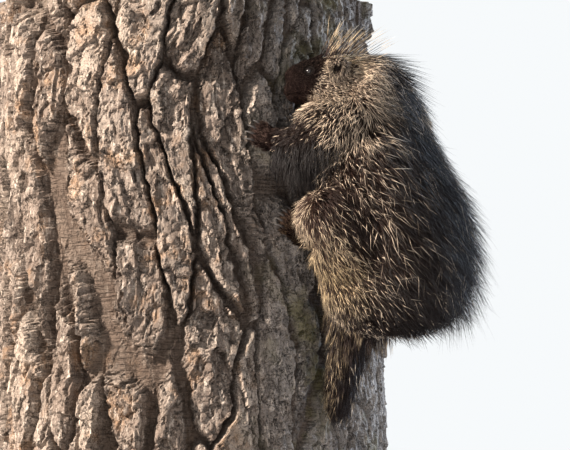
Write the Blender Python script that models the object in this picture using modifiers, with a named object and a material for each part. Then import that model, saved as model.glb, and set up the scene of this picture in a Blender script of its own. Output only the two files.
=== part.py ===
"""A North American porcupine at life size, clinging to a short cut length of trunk on a display stand.

Sizes are in metres and +Z is up. The origin is the centre of the stand's underside, on the trunk's axis.
The animal is laid out in its own frame, turned round the trunk: u towards its left side, v out from
the trunk's axis, through its belly to its back, and z up from its tail to its head.
"""

import math
import random
from itertools import product

import bmesh
import bpy
import numpy as np
from mathutils import Vector
from mathutils.bvhtree import BVHTree

GAP = 0.0003

# Stand: a round plate and two short rods.
BASE_RADIUS = 0.40
BASE_THICKNESS = 0.026
BASE_EDGE = 0.004
ROD_RADIUS = 0.017
ROD_HEIGHT = 0.048
ROD_SPREAD = 0.17

# Trunk: a cut length with bark ridges, which wander as they rise.
TRUNK_RADIUS = 0.346
TRUNK_BOTTOM = BASE_THICKNESS + ROD_HEIGHT + 2 * GAP
TRUNK_LENGTH = 0.864
RIDGES = 22
RIDGE_DEPTH = 0.019
RIDGE_FACES = (0.0, 0.26, 0.74)
TRUNK_ROWS = 12
FLARE = 0.036
FLARE_ANGLE = math.radians(96)
FLARE_WIDTH = math.radians(27)

# Animal: how far it sits round the trunk, from the side that faces -Y towards +X.
BODY_ANGLE = math.radians(52)
LEFT = Vector((-math.cos(BODY_ANGLE), -math.sin(BODY_ANGLE), 0))
BACK = Vector((math.sin(BODY_ANGLE), -math.cos(BODY_ANGLE), 0))
UP = Vector((0, 0, 1))

# Coat: the core of each node reaches this share of the coat's depth.
CORE_SHARE = 0.42

# Locks: flat tapered tufts of guard hairs and quills. Along each: how far, and how wide there.
LOCK_PROFILE = ((0.0, 0.72), (0.36, 1.0), (0.72, 0.66))
LOCK_SINK = 0.012
LOCK_FLATNESS = 0.20
LOCK_CLEAR = 0.0005
LOCK_SHARES = (1.0, 0.8, 0.62, 0.46)
LOCK_LIFTS = (0.0, 0.012, 0.024)
LOCK_TURNS = (0.0, 0.35, -0.35, 0.75, -0.75)

# Feet: how far the heel stands off the bark, the sole's and toes' sizes, and the claws'.
FOOT_REACH = 0.012
SOLE_OUT = 0.006
SOLE_THICKNESS = 0.016
TOE_SPREAD = 0.75
TOE_FAN = 0.35
TOE_RADIUS = {4: 0.0052, 5: 0.0058}
TOE_PATH = ((-0.012, 0.006, 1.0), (0.004, 0.008, 1.0), (0.014, 0.007, 0.85), (0.018, 0.006, 0.36))
CLAW_ROOT = 0.010
CLAW_OUT = 0.0085
CLAW_PATH = ((0.35, 0.0085, 0.0026), (0.75, 0.0045, 0.0015), (1.0, -0.001, 0.0004))
CLAW_RADIUS = 0.0030

# Head: its middle between the ears, and where it looks.
HEAD_PLACE = Vector((0.285, -0.310, 0.764))
HEAD_YAW = math.radians(6)
LOOK = Vector((-math.cos(HEAD_YAW), -math.sin(HEAD_YAW), 0))
HEAD_LEFT = UP.cross(LOOK)
EYE_RADIUS = 0.0056
EYE_FORWARD = 0.053
EYE_UP = 0.0165
EYE_OUT = 0.0322
LID_OUT = 0.0030
LID_THICKNESS = 0.0016
LID_WIDTH = 0.0022
LID_STRETCH = 1.14
MOUTH_CORNER = 4.35
MOUTH_UP = -0.024
MOUTH_SLOPE = 0.0022
MOUTH_STEP = 0.0085
MOUTH_FRONT = 0.0015
LIP_RADIUS = 0.0032
NOSTRIL_FORWARD = 0.0915
NOSTRIL_OUT = 0.0085
NOSTRIL_UP = -0.004
NOSTRIL_SIZE = (0.0045, 0.0022, 0.0036)
EAR_BACK = 0.004
EAR_UP = 0.020
EAR_OUT = 0.049
EAR_SIZE = (0.0135, 0.0075, 0.0165)


def body_point(u, v, z):
    """A place given in the animal's frame."""
    return LEFT * u + BACK * v + UP * z


def head_point(forward, left, up):
    """A place given from the middle of the head."""
    return HEAD_PLACE + LOOK * forward + HEAD_LEFT * left + UP * up


class Form:
    """A smooth form through cross-sections, each a half ellipse above a side axis and one below it.

    A section is (centre, side axis, top axis, half width, rise, drop, coat at the side, top and bottom).
    """

    def __init__(self, sections, free_start=0.0, free_end=0.0):
        self.rows = np.array([[*c, *s, *t, *sizes] for c, s, t, *sizes in sections])
        self.free = (free_start, free_end)

    def at(self, place):
        """The section at a place along the form, from 0 to the last section's number."""
        last = len(self.rows) - 1
        i = min(int(place), last - 1)
        f = place - i
        a, b = self.rows[i], self.rows[i + 1]
        before = self.rows[i - 1] if i > 0 else 2 * a - b
        after = self.rows[i + 2] if i + 2 <= last else 2 * b - a
        slope_a, slope_b = (b - before) / 2, (after - a) / 2
        return (
            (2 * f**3 - 3 * f**2 + 1) * a
            + (f**3 - 2 * f**2 + f) * slope_a
            + (3 * f**2 - 2 * f**3) * b
            + (f**3 - f**2) * slope_b
        )

    def point(self, place, angle, share=0.0):
        """A point of the surface, raised by a share of the coat. Angle 0 is the side axis, 90 the top."""
        row = self.at(place)
        across, over = math.cos(angle), math.sin(angle)
        height, coat = (row[10], row[13]) if over > 0 else (row[11], row[14])
        side = Vector(row[3:6]).normalized()
        top = Vector(row[6:9]).normalized()
        point = Vector(row[0:3])
        point += side * across * (row[9] + share * row[12])
        point += top * over * (height + share * coat)
        start, end = self.free
        last = len(self.rows) - 1
        point += self.along(0) * -start * share * max(0, 1 - place)
        point += self.along(last) * end * share * max(0, place - last + 1)
        return point

    def along(self, place):
        """The direction of the form's path."""
        last = len(self.rows) - 1
        step = 0.05
        a = self.at(max(0, place - step))
        b = self.at(min(last, place + step))
        return Vector(b[0:3] - a[0:3]).normalized()

    def normal(self, place, angle, share=0.0):
        """The outward direction of the surface."""
        last = len(self.rows) - 1
        step = 0.04
        round_it = self.point(place, angle + step, share) - self.point(place, angle - step, share)
        ahead = self.point(min(last, place + step), angle, share)
        ahead -= self.point(max(0, place - step), angle, share)
        out = round_it.cross(ahead).normalized()
        centre = Vector(self.at(place)[0:3])
        return out if out.dot(self.point(place, angle, share) - centre) > 0 else -out

    def rings(self, rows, columns, share=0.0):
        """Rings of points over the whole form."""
        last = len(self.rows) - 1
        turns = [2 * math.pi * c / columns for c in range(columns)]
        places = [last * r / (rows - 1) for r in range(rows)]
        return [[self.point(p, a, share) for a in turns] for p in places]


def mesh_object(name, verts, faces):
    """A mesh object whose faces point out."""
    mesh = bpy.data.meshes.new(name)
    mesh.from_pydata([tuple(v) for v in verts], [], faces)
    work = bmesh.new()
    work.from_mesh(mesh)
    bmesh.ops.recalc_face_normals(work, faces=work.faces)
    bmesh.ops.triangulate(work, faces=work.faces)
    work.to_mesh(mesh)
    work.free()
    obj = bpy.data.objects.new(name, mesh)
    bpy.context.scene.collection.objects.link(obj)
    return obj


def skin_rings(name, rings, poles=True):
    """A closed mesh through rings of points, with each end closed by a fan or, without poles, one face."""
    columns = len(rings[0])
    verts = [p for ring in rings for p in ring]
    faces = []
    for r in range(len(rings) - 1):
        for c in range(columns):
            d = (c + 1) % columns
            low, high = r * columns, (r + 1) * columns
            faces.append((low + c, low + d, high + d, high + c))
    for start in (0, (len(rings) - 1) * columns):
        ends = range(start, start + columns)
        if poles:
            verts.append(sum((verts[i] for i in ends), Vector()) / columns)
            pole = len(verts) - 1
            faces += [(i, start + (i - start + 1) % columns, pole) for i in ends]
        else:
            faces.append(tuple(ends))
    return mesh_object(name, verts, faces)


def evaluated_mesh(obj):
    """The object's mesh with its modifiers applied."""
    graph = bpy.context.evaluated_depsgraph_get()
    return bpy.data.meshes.new_from_object(obj.evaluated_get(graph))


def keep_largest(obj):
    """Leaves only the closed surface of the largest volume."""
    work = bmesh.new()
    work.from_mesh(obj.data)
    unseen = set(work.verts)
    shells = []
    while unseen:
        shell, edge = set(), [unseen.pop()]
        while edge:
            vert = edge.pop()
            shell.add(vert)
            near = [e.other_vert(vert) for e in vert.link_edges]
            edge += [v for v in near if v in unseen]
            unseen.difference_update(near)
        shells.append(shell)

    def volume(shell):
        faces = {f for v in shell for f in v.link_faces}
        return sum(
            f.verts[0].co.dot(f.verts[1].co.cross(f.verts[2].co)) for f in faces if len(f.verts) == 3
        )

    bmesh.ops.triangulate(work, faces=work.faces)
    largest = max(shells, key=volume)
    loose = [v for shell in shells if shell is not largest for v in shell]
    bmesh.ops.delete(work, geom=loose, context="VERTS")
    work.to_mesh(obj.data)
    work.free()
    return obj


def combine(obj, others, operation, solver="EXACT"):
    """Joins or cuts obj with closed meshes by one Boolean, applies it and removes them."""
    if not others:
        return obj
    group = bpy.data.collections.new("operands")
    bpy.context.scene.collection.children.link(group)
    for other in others:
        for holder in list(other.users_collection):
            holder.objects.unlink(other)
        group.objects.link(other)
    modifier = obj.modifiers.new(operation.lower(), "BOOLEAN")
    modifier.operation = operation
    modifier.operand_type = "COLLECTION"
    modifier.collection = group
    modifier.solver = solver
    bpy.context.view_layer.update()
    joined = evaluated_mesh(obj)
    obj.modifiers.clear()
    obj.data = joined
    for other in others:
        bpy.data.objects.remove(other)
    bpy.data.collections.remove(group)
    return keep_largest(obj)


def swollen(obj, distance):
    """A copy of obj whose points are pushed out along their normals."""
    copy = bpy.data.objects.new(obj.name + "_swollen", obj.data.copy())
    bpy.context.scene.collection.objects.link(copy)
    for vert, normal in zip(copy.data.vertices, [v.normal.copy() for v in obj.data.vertices]):
        vert.co += normal * distance
    return copy


def cut_clear(obj, *neighbours):
    """Cuts obj back to a thin gap from each neighbour."""
    return combine(obj, [swollen(n, 1.5 * GAP) for n in neighbours], "DIFFERENCE", "MANIFOLD")


def ball(name, centre, axes, sizes, segments=16, rings=10):
    """An ellipsoid with its half sizes along three axes."""
    bpy.ops.mesh.primitive_uv_sphere_add(segments=segments, ring_count=rings, radius=1)
    obj = bpy.context.active_object
    obj.name = name
    for vert in obj.data.vertices:
        x, y, z = vert.co
        vert.co = centre + axes[0] * x * sizes[0] + axes[1] * y * sizes[1] + axes[2] * z * sizes[2]
    work = bmesh.new()
    work.from_mesh(obj.data)
    bmesh.ops.recalc_face_normals(work, faces=work.faces)
    work.to_mesh(obj.data)
    work.free()
    return obj


def tube(name, points, radii, sides=6):
    """A closed tube through points, each with its own radius. A radius of 0 is a tip."""
    points = [Vector(p) for p in points]
    rings = []
    across = None
    for i, point in enumerate(points):
        ahead = (points[min(i + 1, len(points) - 1)] - points[max(i - 1, 0)]).normalized()
        if across is None:
            across = ahead.orthogonal().normalized()
        across = (across - ahead * across.dot(ahead)).normalized()
        over = ahead.cross(across)
        turns = [2 * math.pi * k / sides for k in range(sides)]
        least = max(radii[i], 0.00005)
        rings.append([point + across * math.cos(a) * least + over * math.sin(a) * least for a in turns])
    return skin_rings(name, rings, poles=False)


def finish(obj, colour, roughness, metallic=0.0):
    """Smooth shading and a plain material for one node."""
    material = bpy.data.materials.new(obj.name)
    material.use_nodes = True
    shader = material.node_tree.nodes["Principled BSDF"]
    shader.inputs["Base Color"].default_value = (*colour, 1)
    shader.inputs["Roughness"].default_value = roughness
    shader.inputs["Metallic"].default_value = metallic
    material.diffuse_color = (*colour, 1)
    obj.data.materials.clear()
    obj.data.materials.append(material)
    obj.data.set_sharp_from_angle(angle=math.radians(40))
    return obj


# Colours from the photograph.
COAT = (0.055, 0.042, 0.036)
SHORT_FUR = (0.050, 0.028, 0.022)
SKIN = (0.075, 0.050, 0.045)
EYE = (0.008, 0.007, 0.007)
CLAW = (0.060, 0.050, 0.042)
BARK = (0.230, 0.180, 0.140)
STAND_PAINT = (0.030, 0.030, 0.032)
STEEL = (0.450, 0.450, 0.460)


def bark_point(ridge, z):
    """A point of the bark, by its ridge number counted round the trunk and its height."""
    turn = 2 * math.pi * ridge / RIDGES
    angle = turn + 0.05 * math.sin(3 * turn + 1.0) + 0.075 * math.sin(5.2 * z + 0.4)
    angle += 0.03 * math.sin(13.0 * z + 2.0)
    hollow = math.exp(-(((angle - math.radians(42)) / math.radians(22)) ** 2))
    radius = TRUNK_RADIUS - 0.010 * hollow + 0.006 * math.sin(2 * turn + 0.8)
    furrow = abs(ridge - round(ridge))
    crest = min(1.0, furrow / 0.24)
    crest = crest * crest * (3 - 2 * crest)
    plates = 0.78 + 0.22 * math.sin(9.0 * z + 2.4 * round(ridge - 0.5))
    depth = RIDGE_DEPTH * (1.0 + 0.35 * math.cos(turn + 0.6)) * (1 - 0.35 * hollow)
    radius += depth * (crest * plates - 0.5)
    fall = 1 - (z - TRUNK_BOTTOM) / TRUNK_LENGTH
    radius += FLARE * (0.15 + 0.85 * fall) * math.exp(-(((angle - FLARE_ANGLE) / FLARE_WIDTH) ** 2))
    return Vector((radius * math.sin(angle), -radius * math.cos(angle), z))


def make_trunk():
    """The cut length of trunk, with flat sawn ends."""
    columns = [i + f for i in range(RIDGES) for f in RIDGE_FACES]
    heights = [TRUNK_BOTTOM + TRUNK_LENGTH * r / (TRUNK_ROWS - 1) for r in range(TRUNK_ROWS)]
    trunk = skin_rings("trunk", [[bark_point(c, z) for c in columns] for z in heights])
    return finish(trunk, BARK, 0.9)


def make_stand():
    """The round base plate and the rods that carry the trunk."""
    bpy.ops.mesh.primitive_cylinder_add(
        vertices=40, radius=BASE_RADIUS, depth=BASE_THICKNESS, location=(0, 0, BASE_THICKNESS / 2)
    )
    base = bpy.context.active_object
    base.name = "stand_base"
    bevel = base.modifiers.new("edge", "BEVEL")
    bevel.width = BASE_EDGE
    bevel.segments = 1
    bevel.angle_limit = math.radians(50)
    finish(base, STAND_PAINT, 0.5)
    for side, name in ((-1, "stand_rod_left"), (1, "stand_rod_right")):
        bpy.ops.mesh.primitive_cylinder_add(
            vertices=24,
            radius=ROD_RADIUS,
            depth=ROD_HEIGHT,
            location=(side * ROD_SPREAD / 2, 0, BASE_THICKNESS + GAP + ROD_HEIGHT / 2),
        )
        rod = bpy.context.active_object
        rod.name = name
        finish(rod, STEEL, 0.35, 1.0)


def lock_shape(root, out, lie, length, rise, width, margin=0.0):
    """Points and faces of a lock that leaves the core steeply and bends over along the lie."""
    side = out.cross(lie).normalized()

    def on_path(t):
        return root + lie * length * (0.35 * t + 0.65 * t * t) + out * rise * (2 * t - t * t)

    verts = []
    for t, breadth in LOCK_PROFILE:
        ahead = (on_path(t + 0.02) - on_path(t - 0.02)).normalized()
        over = ahead.cross(side).normalized()
        over = over if over.dot(out) > 0 else -over
        centre = on_path(t) - over * margin
        if t == 0.0:
            centre -= out * LOCK_SINK
        half = breadth * width / 2 + margin
        verts += [centre - side * half, centre + side * half]
        verts.append(centre + over * (LOCK_FLATNESS * breadth * width + 2 * margin))
    verts.append(on_path(1.0 + margin / length))
    faces = [(0, 1, 2), (6, 7, 9), (7, 8, 9), (8, 6, 9)]
    for low in (0, 3):
        for c in range(3):
            d = (c + 1) % 3
            faces += [(low + c, low + d, low + 3 + d), (low + c, low + 3 + d, low + 3 + c)]
    return verts, faces


def surface_tree(obj):
    """A search tree of an object's surface."""
    mesh = obj.data
    return BVHTree.FromPolygons([v.co for v in mesh.vertices], [f.vertices for f in mesh.polygons])


def is_inside(tree, point):
    """Whether a point is inside a closed surface."""
    way = Vector((0.31, 0.52, 0.79)).normalized()
    crossings = 0
    hit = tree.ray_cast(point, way)[0]
    while hit is not None:
        crossings += 1
        hit = tree.ray_cast(hit + way * 1e-5, way)[0]
    return crossings % 2 == 1


class Coat:
    """Sets locks on the cores, each clear of every other node."""

    def __init__(self, cores, others):
        self.cores = cores
        self.trees = {obj.name: [surface_tree(obj)] for obj in (*cores.values(), *others)}
        self.locks = {name: [] for name in cores}
        self.dice = random.Random(7)

    def add(self, name, root, out, lie, length, rise, width):
        """One lock, shortened or lifted where it would meet another node, or left out."""
        if not is_inside(self.trees[name][0], root - out * LOCK_SINK * 0.7):
            return
        others = [t for other, trees in self.trees.items() if other != name for t in trees]
        cores = [trees[0] for other, trees in self.trees.items() if other != name]
        if any(is_inside(core, root) for core in cores):
            return
        lie = (lie - out * lie.dot(out)).normalized()
        across = out.cross(lie)
        for share, lift, turn in product(LOCK_SHARES, LOCK_LIFTS, LOCK_TURNS):
            way = lie * math.cos(turn) + across * math.sin(turn)
            sizes = (length * share, rise * share**0.5 + lift, width)
            tree = BVHTree.FromPolygons(*lock_shape(root, out, way, *sizes, margin=LOCK_CLEAR))
            if not any(tree.overlap(other) for other in others):
                self.trees[name].append(tree)
                self.locks[name].append(mesh_object("lock", *lock_shape(root, out, way, *sizes)))
                return

    def grow(self, name, form, places, angles, spacing, lie, size):
        """Staggered rows of locks over part of a form.

        lie gives their direction from the place's out and the form's own direction. size is the length,
        the height of the tip over the core and the width.
        """
        low, high = (math.radians(a) for a in angles)
        length, rise, width = size
        for row, place in enumerate(places):
            arc = [form.point(place, low + (high - low) * k / 12, CORE_SHARE) for k in range(13)]
            round_it = sum((b - a).length for a, b in zip(arc, arc[1:]))
            count = max(2, round(round_it / spacing))
            for i in range(count):
                f = (i + 0.25 + 0.5 * (row % 2) + self.dice.uniform(-0.15, 0.15)) / count
                angle = low + (high - low) * f
                put = min(len(form.rows) - 1, max(0, place + self.dice.uniform(-0.12, 0.12)))
                root = form.point(put, angle, CORE_SHARE)
                out = form.normal(put, angle, CORE_SHARE)
                way = lie(out, form.along(put))
                way += out.cross(way) * self.dice.uniform(-0.22, 0.22)
                scale = self.dice.uniform(0.88, 1.12)
                self.add(name, root, out, way, length * scale, rise * scale, width)

    def fuse(self):
        """Joins each node's locks to its core."""
        for name, core in self.cores.items():
            combine(core, self.locks[name], "UNION", "MANIFOLD")


def torso_form():
    """From the rump up to the shoulders."""
    table = [
        # z, out, half width, rise, drop, coat at the side, back and belly
        (0.318, 0.456, 0.012, 0.012, 0.012, 0.010, 0.036, 0.003),
        (0.330, 0.460, 0.052, 0.052, 0.046, 0.034, 0.090, 0.006),
        (0.358, 0.468, 0.082, 0.082, 0.074, 0.046, 0.108, 0.008),
        (0.410, 0.480, 0.102, 0.101, 0.094, 0.054, 0.086, 0.010),
        (0.470, 0.482, 0.108, 0.104, 0.098, 0.056, 0.069, 0.010),
        (0.530, 0.477, 0.107, 0.098, 0.095, 0.056, 0.064, 0.010),
        (0.590, 0.464, 0.099, 0.089, 0.084, 0.054, 0.060, 0.010),
        (0.650, 0.448, 0.088, 0.079, 0.072, 0.050, 0.056, 0.010),
        (0.700, 0.440, 0.077, 0.068, 0.064, 0.044, 0.050, 0.010),
    ]
    return Form(
        [(body_point(0, v, z), LEFT, BACK, *sizes) for z, v, *sizes in table], free_start=0.022
    )


def head_form():
    """From the back of the skull to the nose."""
    table = [
        # forward, up, half width, rise, drop, coat at the side, top and bottom
        (-0.045, -0.001, 0.048, 0.040, 0.047, 0.016, 0.021, 0.014),
        (-0.020, -0.001, 0.050, 0.042, 0.050, 0.012, 0.015, 0.012),
        (0.010, 0.000, 0.048, 0.042, 0.049, 0.009, 0.009, 0.009),
        (0.035, 0.000, 0.043, 0.041, 0.046, 0.005, 0.004, 0.006),
        (0.055, 0.001, 0.037, 0.036, 0.041, 0.002, 0.002, 0.004),
        (0.070, 0.000, 0.032, 0.031, 0.037, 0.001, 0.001, 0.002),
        (0.081, -0.003, 0.027, 0.028, 0.031, 0.001, 0.001, 0.001),
        (0.088, -0.004, 0.021, 0.022, 0.023, 0.000, 0.000, 0.000),
        (0.092, -0.005, 0.012, 0.012, 0.012, 0.000, 0.000, 0.000),
    ]
    return Form([(head_point(x, 0, up), HEAD_LEFT, UP, *sizes) for x, up, *sizes in table])


def neck_form(torso, head):
    """From the torso's last section to the head's first, turning from upright to level."""
    low, high = torso.rows[-1], head.rows[0]
    middle = (low + high) / 2
    middle[0:3] += 0.006 * (UP + BACK)
    middle[10] += 0.004
    rows = [low, middle, high]
    sections = [
        (Vector(r[0:3]), Vector(r[3:6]).normalized(), Vector(r[6:9]).normalized(), *r[9:]) for r in rows
    ]
    sections[0] = (sections[0][0] + UP * GAP, *sections[0][1:])
    sections[-1] = (sections[-1][0] - LOOK * GAP, *sections[-1][1:])
    return Form(sections)


def tail_form():
    """From inside the rump down along the bark."""
    table = [
        # z, u, out, half width, rise, drop, coat at the side, back and belly
        (0.372, 0.000, 0.440, 0.026, 0.026, 0.024, 0.012, 0.012, 0.003),
        (0.335, 0.008, 0.424, 0.027, 0.025, 0.026, 0.019, 0.018, 0.003),
        (0.290, 0.018, 0.404, 0.025, 0.021, 0.022, 0.021, 0.021, 0.003),
        (0.245, 0.024, 0.394, 0.021, 0.017, 0.019, 0.021, 0.021, 0.003),
        (0.205, 0.028, 0.390, 0.017, 0.013, 0.015, 0.020, 0.020, 0.003),
        (0.176, 0.030, 0.388, 0.012, 0.009, 0.011, 0.014, 0.014, 0.003),
        (0.162, 0.031, 0.387, 0.006, 0.005, 0.005, 0.001, 0.001, 0.001),
    ]
    return Form([(body_point(u, v, z), LEFT, BACK, *s) for z, u, v, *s in table], free_end=0.022)


def limb_form(points, radii, coats):
    """A limb through points of the animal's frame, round in section."""
    places = [body_point(*p) for p in points]
    sections = []
    for i, place in enumerate(places):
        ahead = (places[min(i + 1, len(places) - 1)] - places[max(i - 1, 0)]).normalized()
        side = ahead.cross(BACK).normalized()
        top = side.cross(ahead)
        r, c = radii[i], coats[i]
        sections.append((place, side, top, r, r, r, c, c, c))
    return Form(sections)


class Foot:
    """A foot flat on the bark: its heel and its toes' direction, by turn round the trunk and height."""

    def __init__(self, name, turn, heel_z, toe_turn, toe_z, length, width, toes, claw):
        self.name = name
        reach = TRUNK_RADIUS + FOOT_REACH
        self.out = Vector((math.sin(turn), -math.cos(turn), 0))
        heel = self.out * reach + UP * heel_z
        toe_out = Vector((math.sin(toe_turn), -math.cos(toe_turn), 0))
        self.ahead = (toe_out * reach + UP * toe_z - heel).normalized()
        self.side = self.ahead.cross(self.out).normalized()
        self.out = self.side.cross(self.ahead)
        self.heel = heel
        self.length, self.width = length, width
        self.toes, self.claw = toes, claw

    def place(self, ahead, side, out):
        return self.heel + self.ahead * ahead + self.side * side + self.out * out

    def toe_and_claw(self, spread):
        """One toe with its claw, by its place across the foot from -0.5 to 0.5."""
        root = self.place(self.length * (0.80 - 0.35 * spread**2), TOE_SPREAD * self.width * spread, 0)
        fan = TOE_FAN * spread
        ray = self.ahead * math.cos(fan) + self.side * math.sin(fan)
        radius = TOE_RADIUS[self.toes]
        toe = [root + ray * reach + self.out * out for reach, out, share in TOE_PATH]
        toe_radii = [radius * share for reach, out, share in TOE_PATH]
        claw = [root + ray * CLAW_ROOT + self.out * CLAW_OUT]
        toe_end = TOE_PATH[-1][0]
        claw += [root + ray * (toe_end + share * self.claw) + self.out * out for share, out, r in CLAW_PATH]
        claw_radii = [CLAW_RADIUS, *(r for share, out, r in CLAW_PATH)]
        return [tube("toe", toe, toe_radii, sides=4), tube("claw", claw, claw_radii, sides=3)]

    def build(self, trunk):
        """Sole and toes with their claws, cut clear of the bark."""
        palm = ball(
            self.name,
            self.place(0.45 * self.length, 0, SOLE_OUT),
            (self.ahead, self.side, self.out),
            (0.55 * self.length, self.width / 2, SOLE_THICKNESS),
            segments=12,
            rings=7,
        )
        pieces = []
        for i in range(self.toes):
            spread = (i - (self.toes - 1) / 2) / (self.toes - 1)
            pieces += self.toe_and_claw(spread)
        combine(palm, pieces, "UNION", "MANIFOLD")
        cut_clear(palm, trunk)
        return finish(palm, SHORT_FUR, 0.8)


def feet():
    """The four feet, placed from the photograph and, on the far side, from the species."""
    degrees = math.radians
    return {
        "forepaw_left": Foot(
            "forepaw_left", degrees(30), 0.652, degrees(19), 0.682, 0.042, 0.034, 4, 0.018
        ),
        "forepaw_right": Foot(
            "forepaw_right", degrees(80), 0.672, degrees(90), 0.712, 0.042, 0.034, 4, 0.018
        ),
        "hindfoot_left": Foot(
            "hindfoot_left", degrees(42), 0.478, degrees(30), 0.527, 0.074, 0.040, 5, 0.017
        ),
        "hindfoot_right": Foot(
            "hindfoot_right", degrees(66), 0.436, degrees(76), 0.506, 0.074, 0.040, 5, 0.017
        ),
    }


def in_body_frame(point):
    """The animal's own coordinates of a place."""
    return Vector((point.dot(LEFT), point.dot(BACK), point.z))


def limb_forms(feet_by_name):
    """The four legs, each from inside the torso to its foot's wrist or heel."""
    forms = {}
    for side, word in ((1, "left"), (-1, "right")):
        paw = feet_by_name["forepaw_" + word]
        wrist = in_body_frame(paw.place(0.004, 0, 0.014))
        forms["foreleg_" + word] = limb_form(
            [
                (side * 0.050, 0.440, 0.696),
                (side * 0.092, 0.426, 0.676),
                (side * 0.120, 0.406, 0.662),
                (0.82 * wrist.x + side * 0.020, 0.384, 0.652),
                wrist,
            ],
            (0.050, 0.046, 0.036, 0.0225, 0.0165),
            (0.022, 0.024, 0.024, 0.014, 0.007),
        )
        foot = feet_by_name["hindfoot_" + word]
        heel = in_body_frame(foot.place(0.012, 0, 0.012))
        forms["hindleg_" + word] = limb_form(
            [
                (side * 0.036, 0.478, 0.430),
                (side * 0.088, 0.472, 0.478),
                (side * 0.132, 0.446, 0.528),
                (0.40 * heel.x + side * 0.072, 0.404, 0.30 * heel.z + 0.361),
                heel,
            ],
            (0.062, 0.056, 0.040, 0.027, 0.0180),
            (0.026, 0.032, 0.024, 0.014, 0.008),
        )
    return forms


def mouth_line(form, raised):
    """Points round the muzzle along the mouth, from one corner to the other, raised off the surface."""
    half = []
    last = len(form.rows) - 1
    for step in range(400):
        place = MOUTH_CORNER + (last - MOUTH_CORNER) * step / 400
        row = form.at(place)
        height = HEAD_PLACE.z + MOUTH_UP - MOUTH_SLOPE * (last - place)
        sine = (height - row[2]) / row[11]
        if sine <= -1:
            break
        angle = math.asin(sine)
        point = form.point(place, angle) + form.normal(place, angle) * raised
        if not half or (point - half[-1]).length > MOUTH_STEP:
            half.append(point)
    across = HEAD_LEFT
    mirrored = [p - across * 2 * (p - HEAD_PLACE).dot(across) for p in half]
    front = (half[-1] + mirrored[-1]) / 2 + LOOK * MOUTH_FRONT
    return [*half, front, *reversed(mirrored)]


def make_head(form, share):
    """The head, with lips, the line of the mouth, nostrils and lids."""
    head = skin_rings("head", form.rings(14, 20, share))
    line = mouth_line(form, 0.0)
    radii = [0.0010] + [LIP_RADIUS] * (len(line) - 2) + [0.0010]
    lips = tube("lips", line, radii, sides=6)
    lids = []
    sockets = []
    for side in (1, -1):
        centre = head_point(EYE_FORWARD, side * EYE_OUT, EYE_UP)
        out = (HEAD_LEFT * side + LOOK * 0.25 + UP * 0.12).normalized()
        ahead = (LOOK - out * LOOK.dot(out)).normalized()
        over = out.cross(ahead)
        rim = []
        for k in range(12):
            turn = 2 * math.pi * k / 12
            spoke = ahead * math.cos(turn) * LID_STRETCH + over * math.sin(turn)
            ring = [2 * math.pi * j / 5 for j in range(5)]
            rim.append(
                [
                    centre
                    + out * (LID_OUT + LID_THICKNESS * math.sin(b))
                    + spoke * (EYE_RADIUS + LID_WIDTH * math.cos(b))
                    for b in ring
                ]
            )
        verts = [p for ring in rim for p in ring]
        faces = [
            (i * 5 + j, i * 5 + (j + 1) % 5, ((i + 1) % 12) * 5 + (j + 1) % 5, ((i + 1) % 12) * 5 + j)
            for i in range(12)
            for j in range(5)
        ]
        lids.append(mesh_object("lid", verts, faces))
        sockets.append(
            ball("socket", centre, (out, ahead, over), [EYE_RADIUS + GAP] * 3, segments=10, rings=6)
        )
    combine(head, [lips, *lids], "UNION", "MANIFOLD")
    cut_line = mouth_line(form, 0.0026)
    groove = tube("groove", cut_line, [0.0013] * len(cut_line), sides=4)
    nostrils = []
    for side in (1, -1):
        along = (LOOK + HEAD_LEFT * side * 0.6).normalized()
        across = (HEAD_LEFT - LOOK * side * 0.6).normalized()
        place = head_point(NOSTRIL_FORWARD, side * NOSTRIL_OUT, NOSTRIL_UP)
        nostrils.append(ball("nostril", place, (along, across, UP), NOSTRIL_SIZE, segments=8, rings=5))
    return combine(head, [*sockets, groove, *nostrils], "DIFFERENCE", "MANIFOLD")


def make_eyes():
    """Two dark eyeballs in their sockets."""
    eyes = []
    for side, name in ((1, "eye_left"), (-1, "eye_right")):
        centre = head_point(EYE_FORWARD, side * EYE_OUT, EYE_UP)
        eye = ball(name, centre, (LOOK, HEAD_LEFT, UP), [EYE_RADIUS - GAP] * 3, segments=12, rings=8)
        eyes.append(finish(eye, EYE, 0.1))
    return eyes


def make_ears(head):
    """Two small cupped ears, cut clear of the head."""
    ears = []
    for side, name in ((1, "ear_left"), (-1, "ear_right")):
        centre = head_point(EAR_BACK, side * EAR_OUT, EAR_UP)
        out = (HEAD_LEFT * side + LOOK * 0.45 + UP * 0.25).normalized()
        ahead = (LOOK - out * LOOK.dot(out)).normalized()
        over = out.cross(ahead)
        ear = ball(name, centre, (ahead, out, over), EAR_SIZE, segments=12, rings=7)
        cup = ball(
            "cup",
            centre + out * 0.0062,
            (ahead, out, over),
            (EAR_SIZE[0] * 0.80, EAR_SIZE[1] * 0.95, EAR_SIZE[2] * 0.80),
            segments=10,
            rings=6,
        )
        combine(ear, [cup], "DIFFERENCE", "MANIFOLD")
        cut_clear(ear, head)
        ears.append(finish(ear, SHORT_FUR, 0.85))
    return ears


def steps(first, last, count):
    """Evenly spaced numbers."""
    return [first + (last - first) * i / (count - 1) for i in range(count)]


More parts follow.
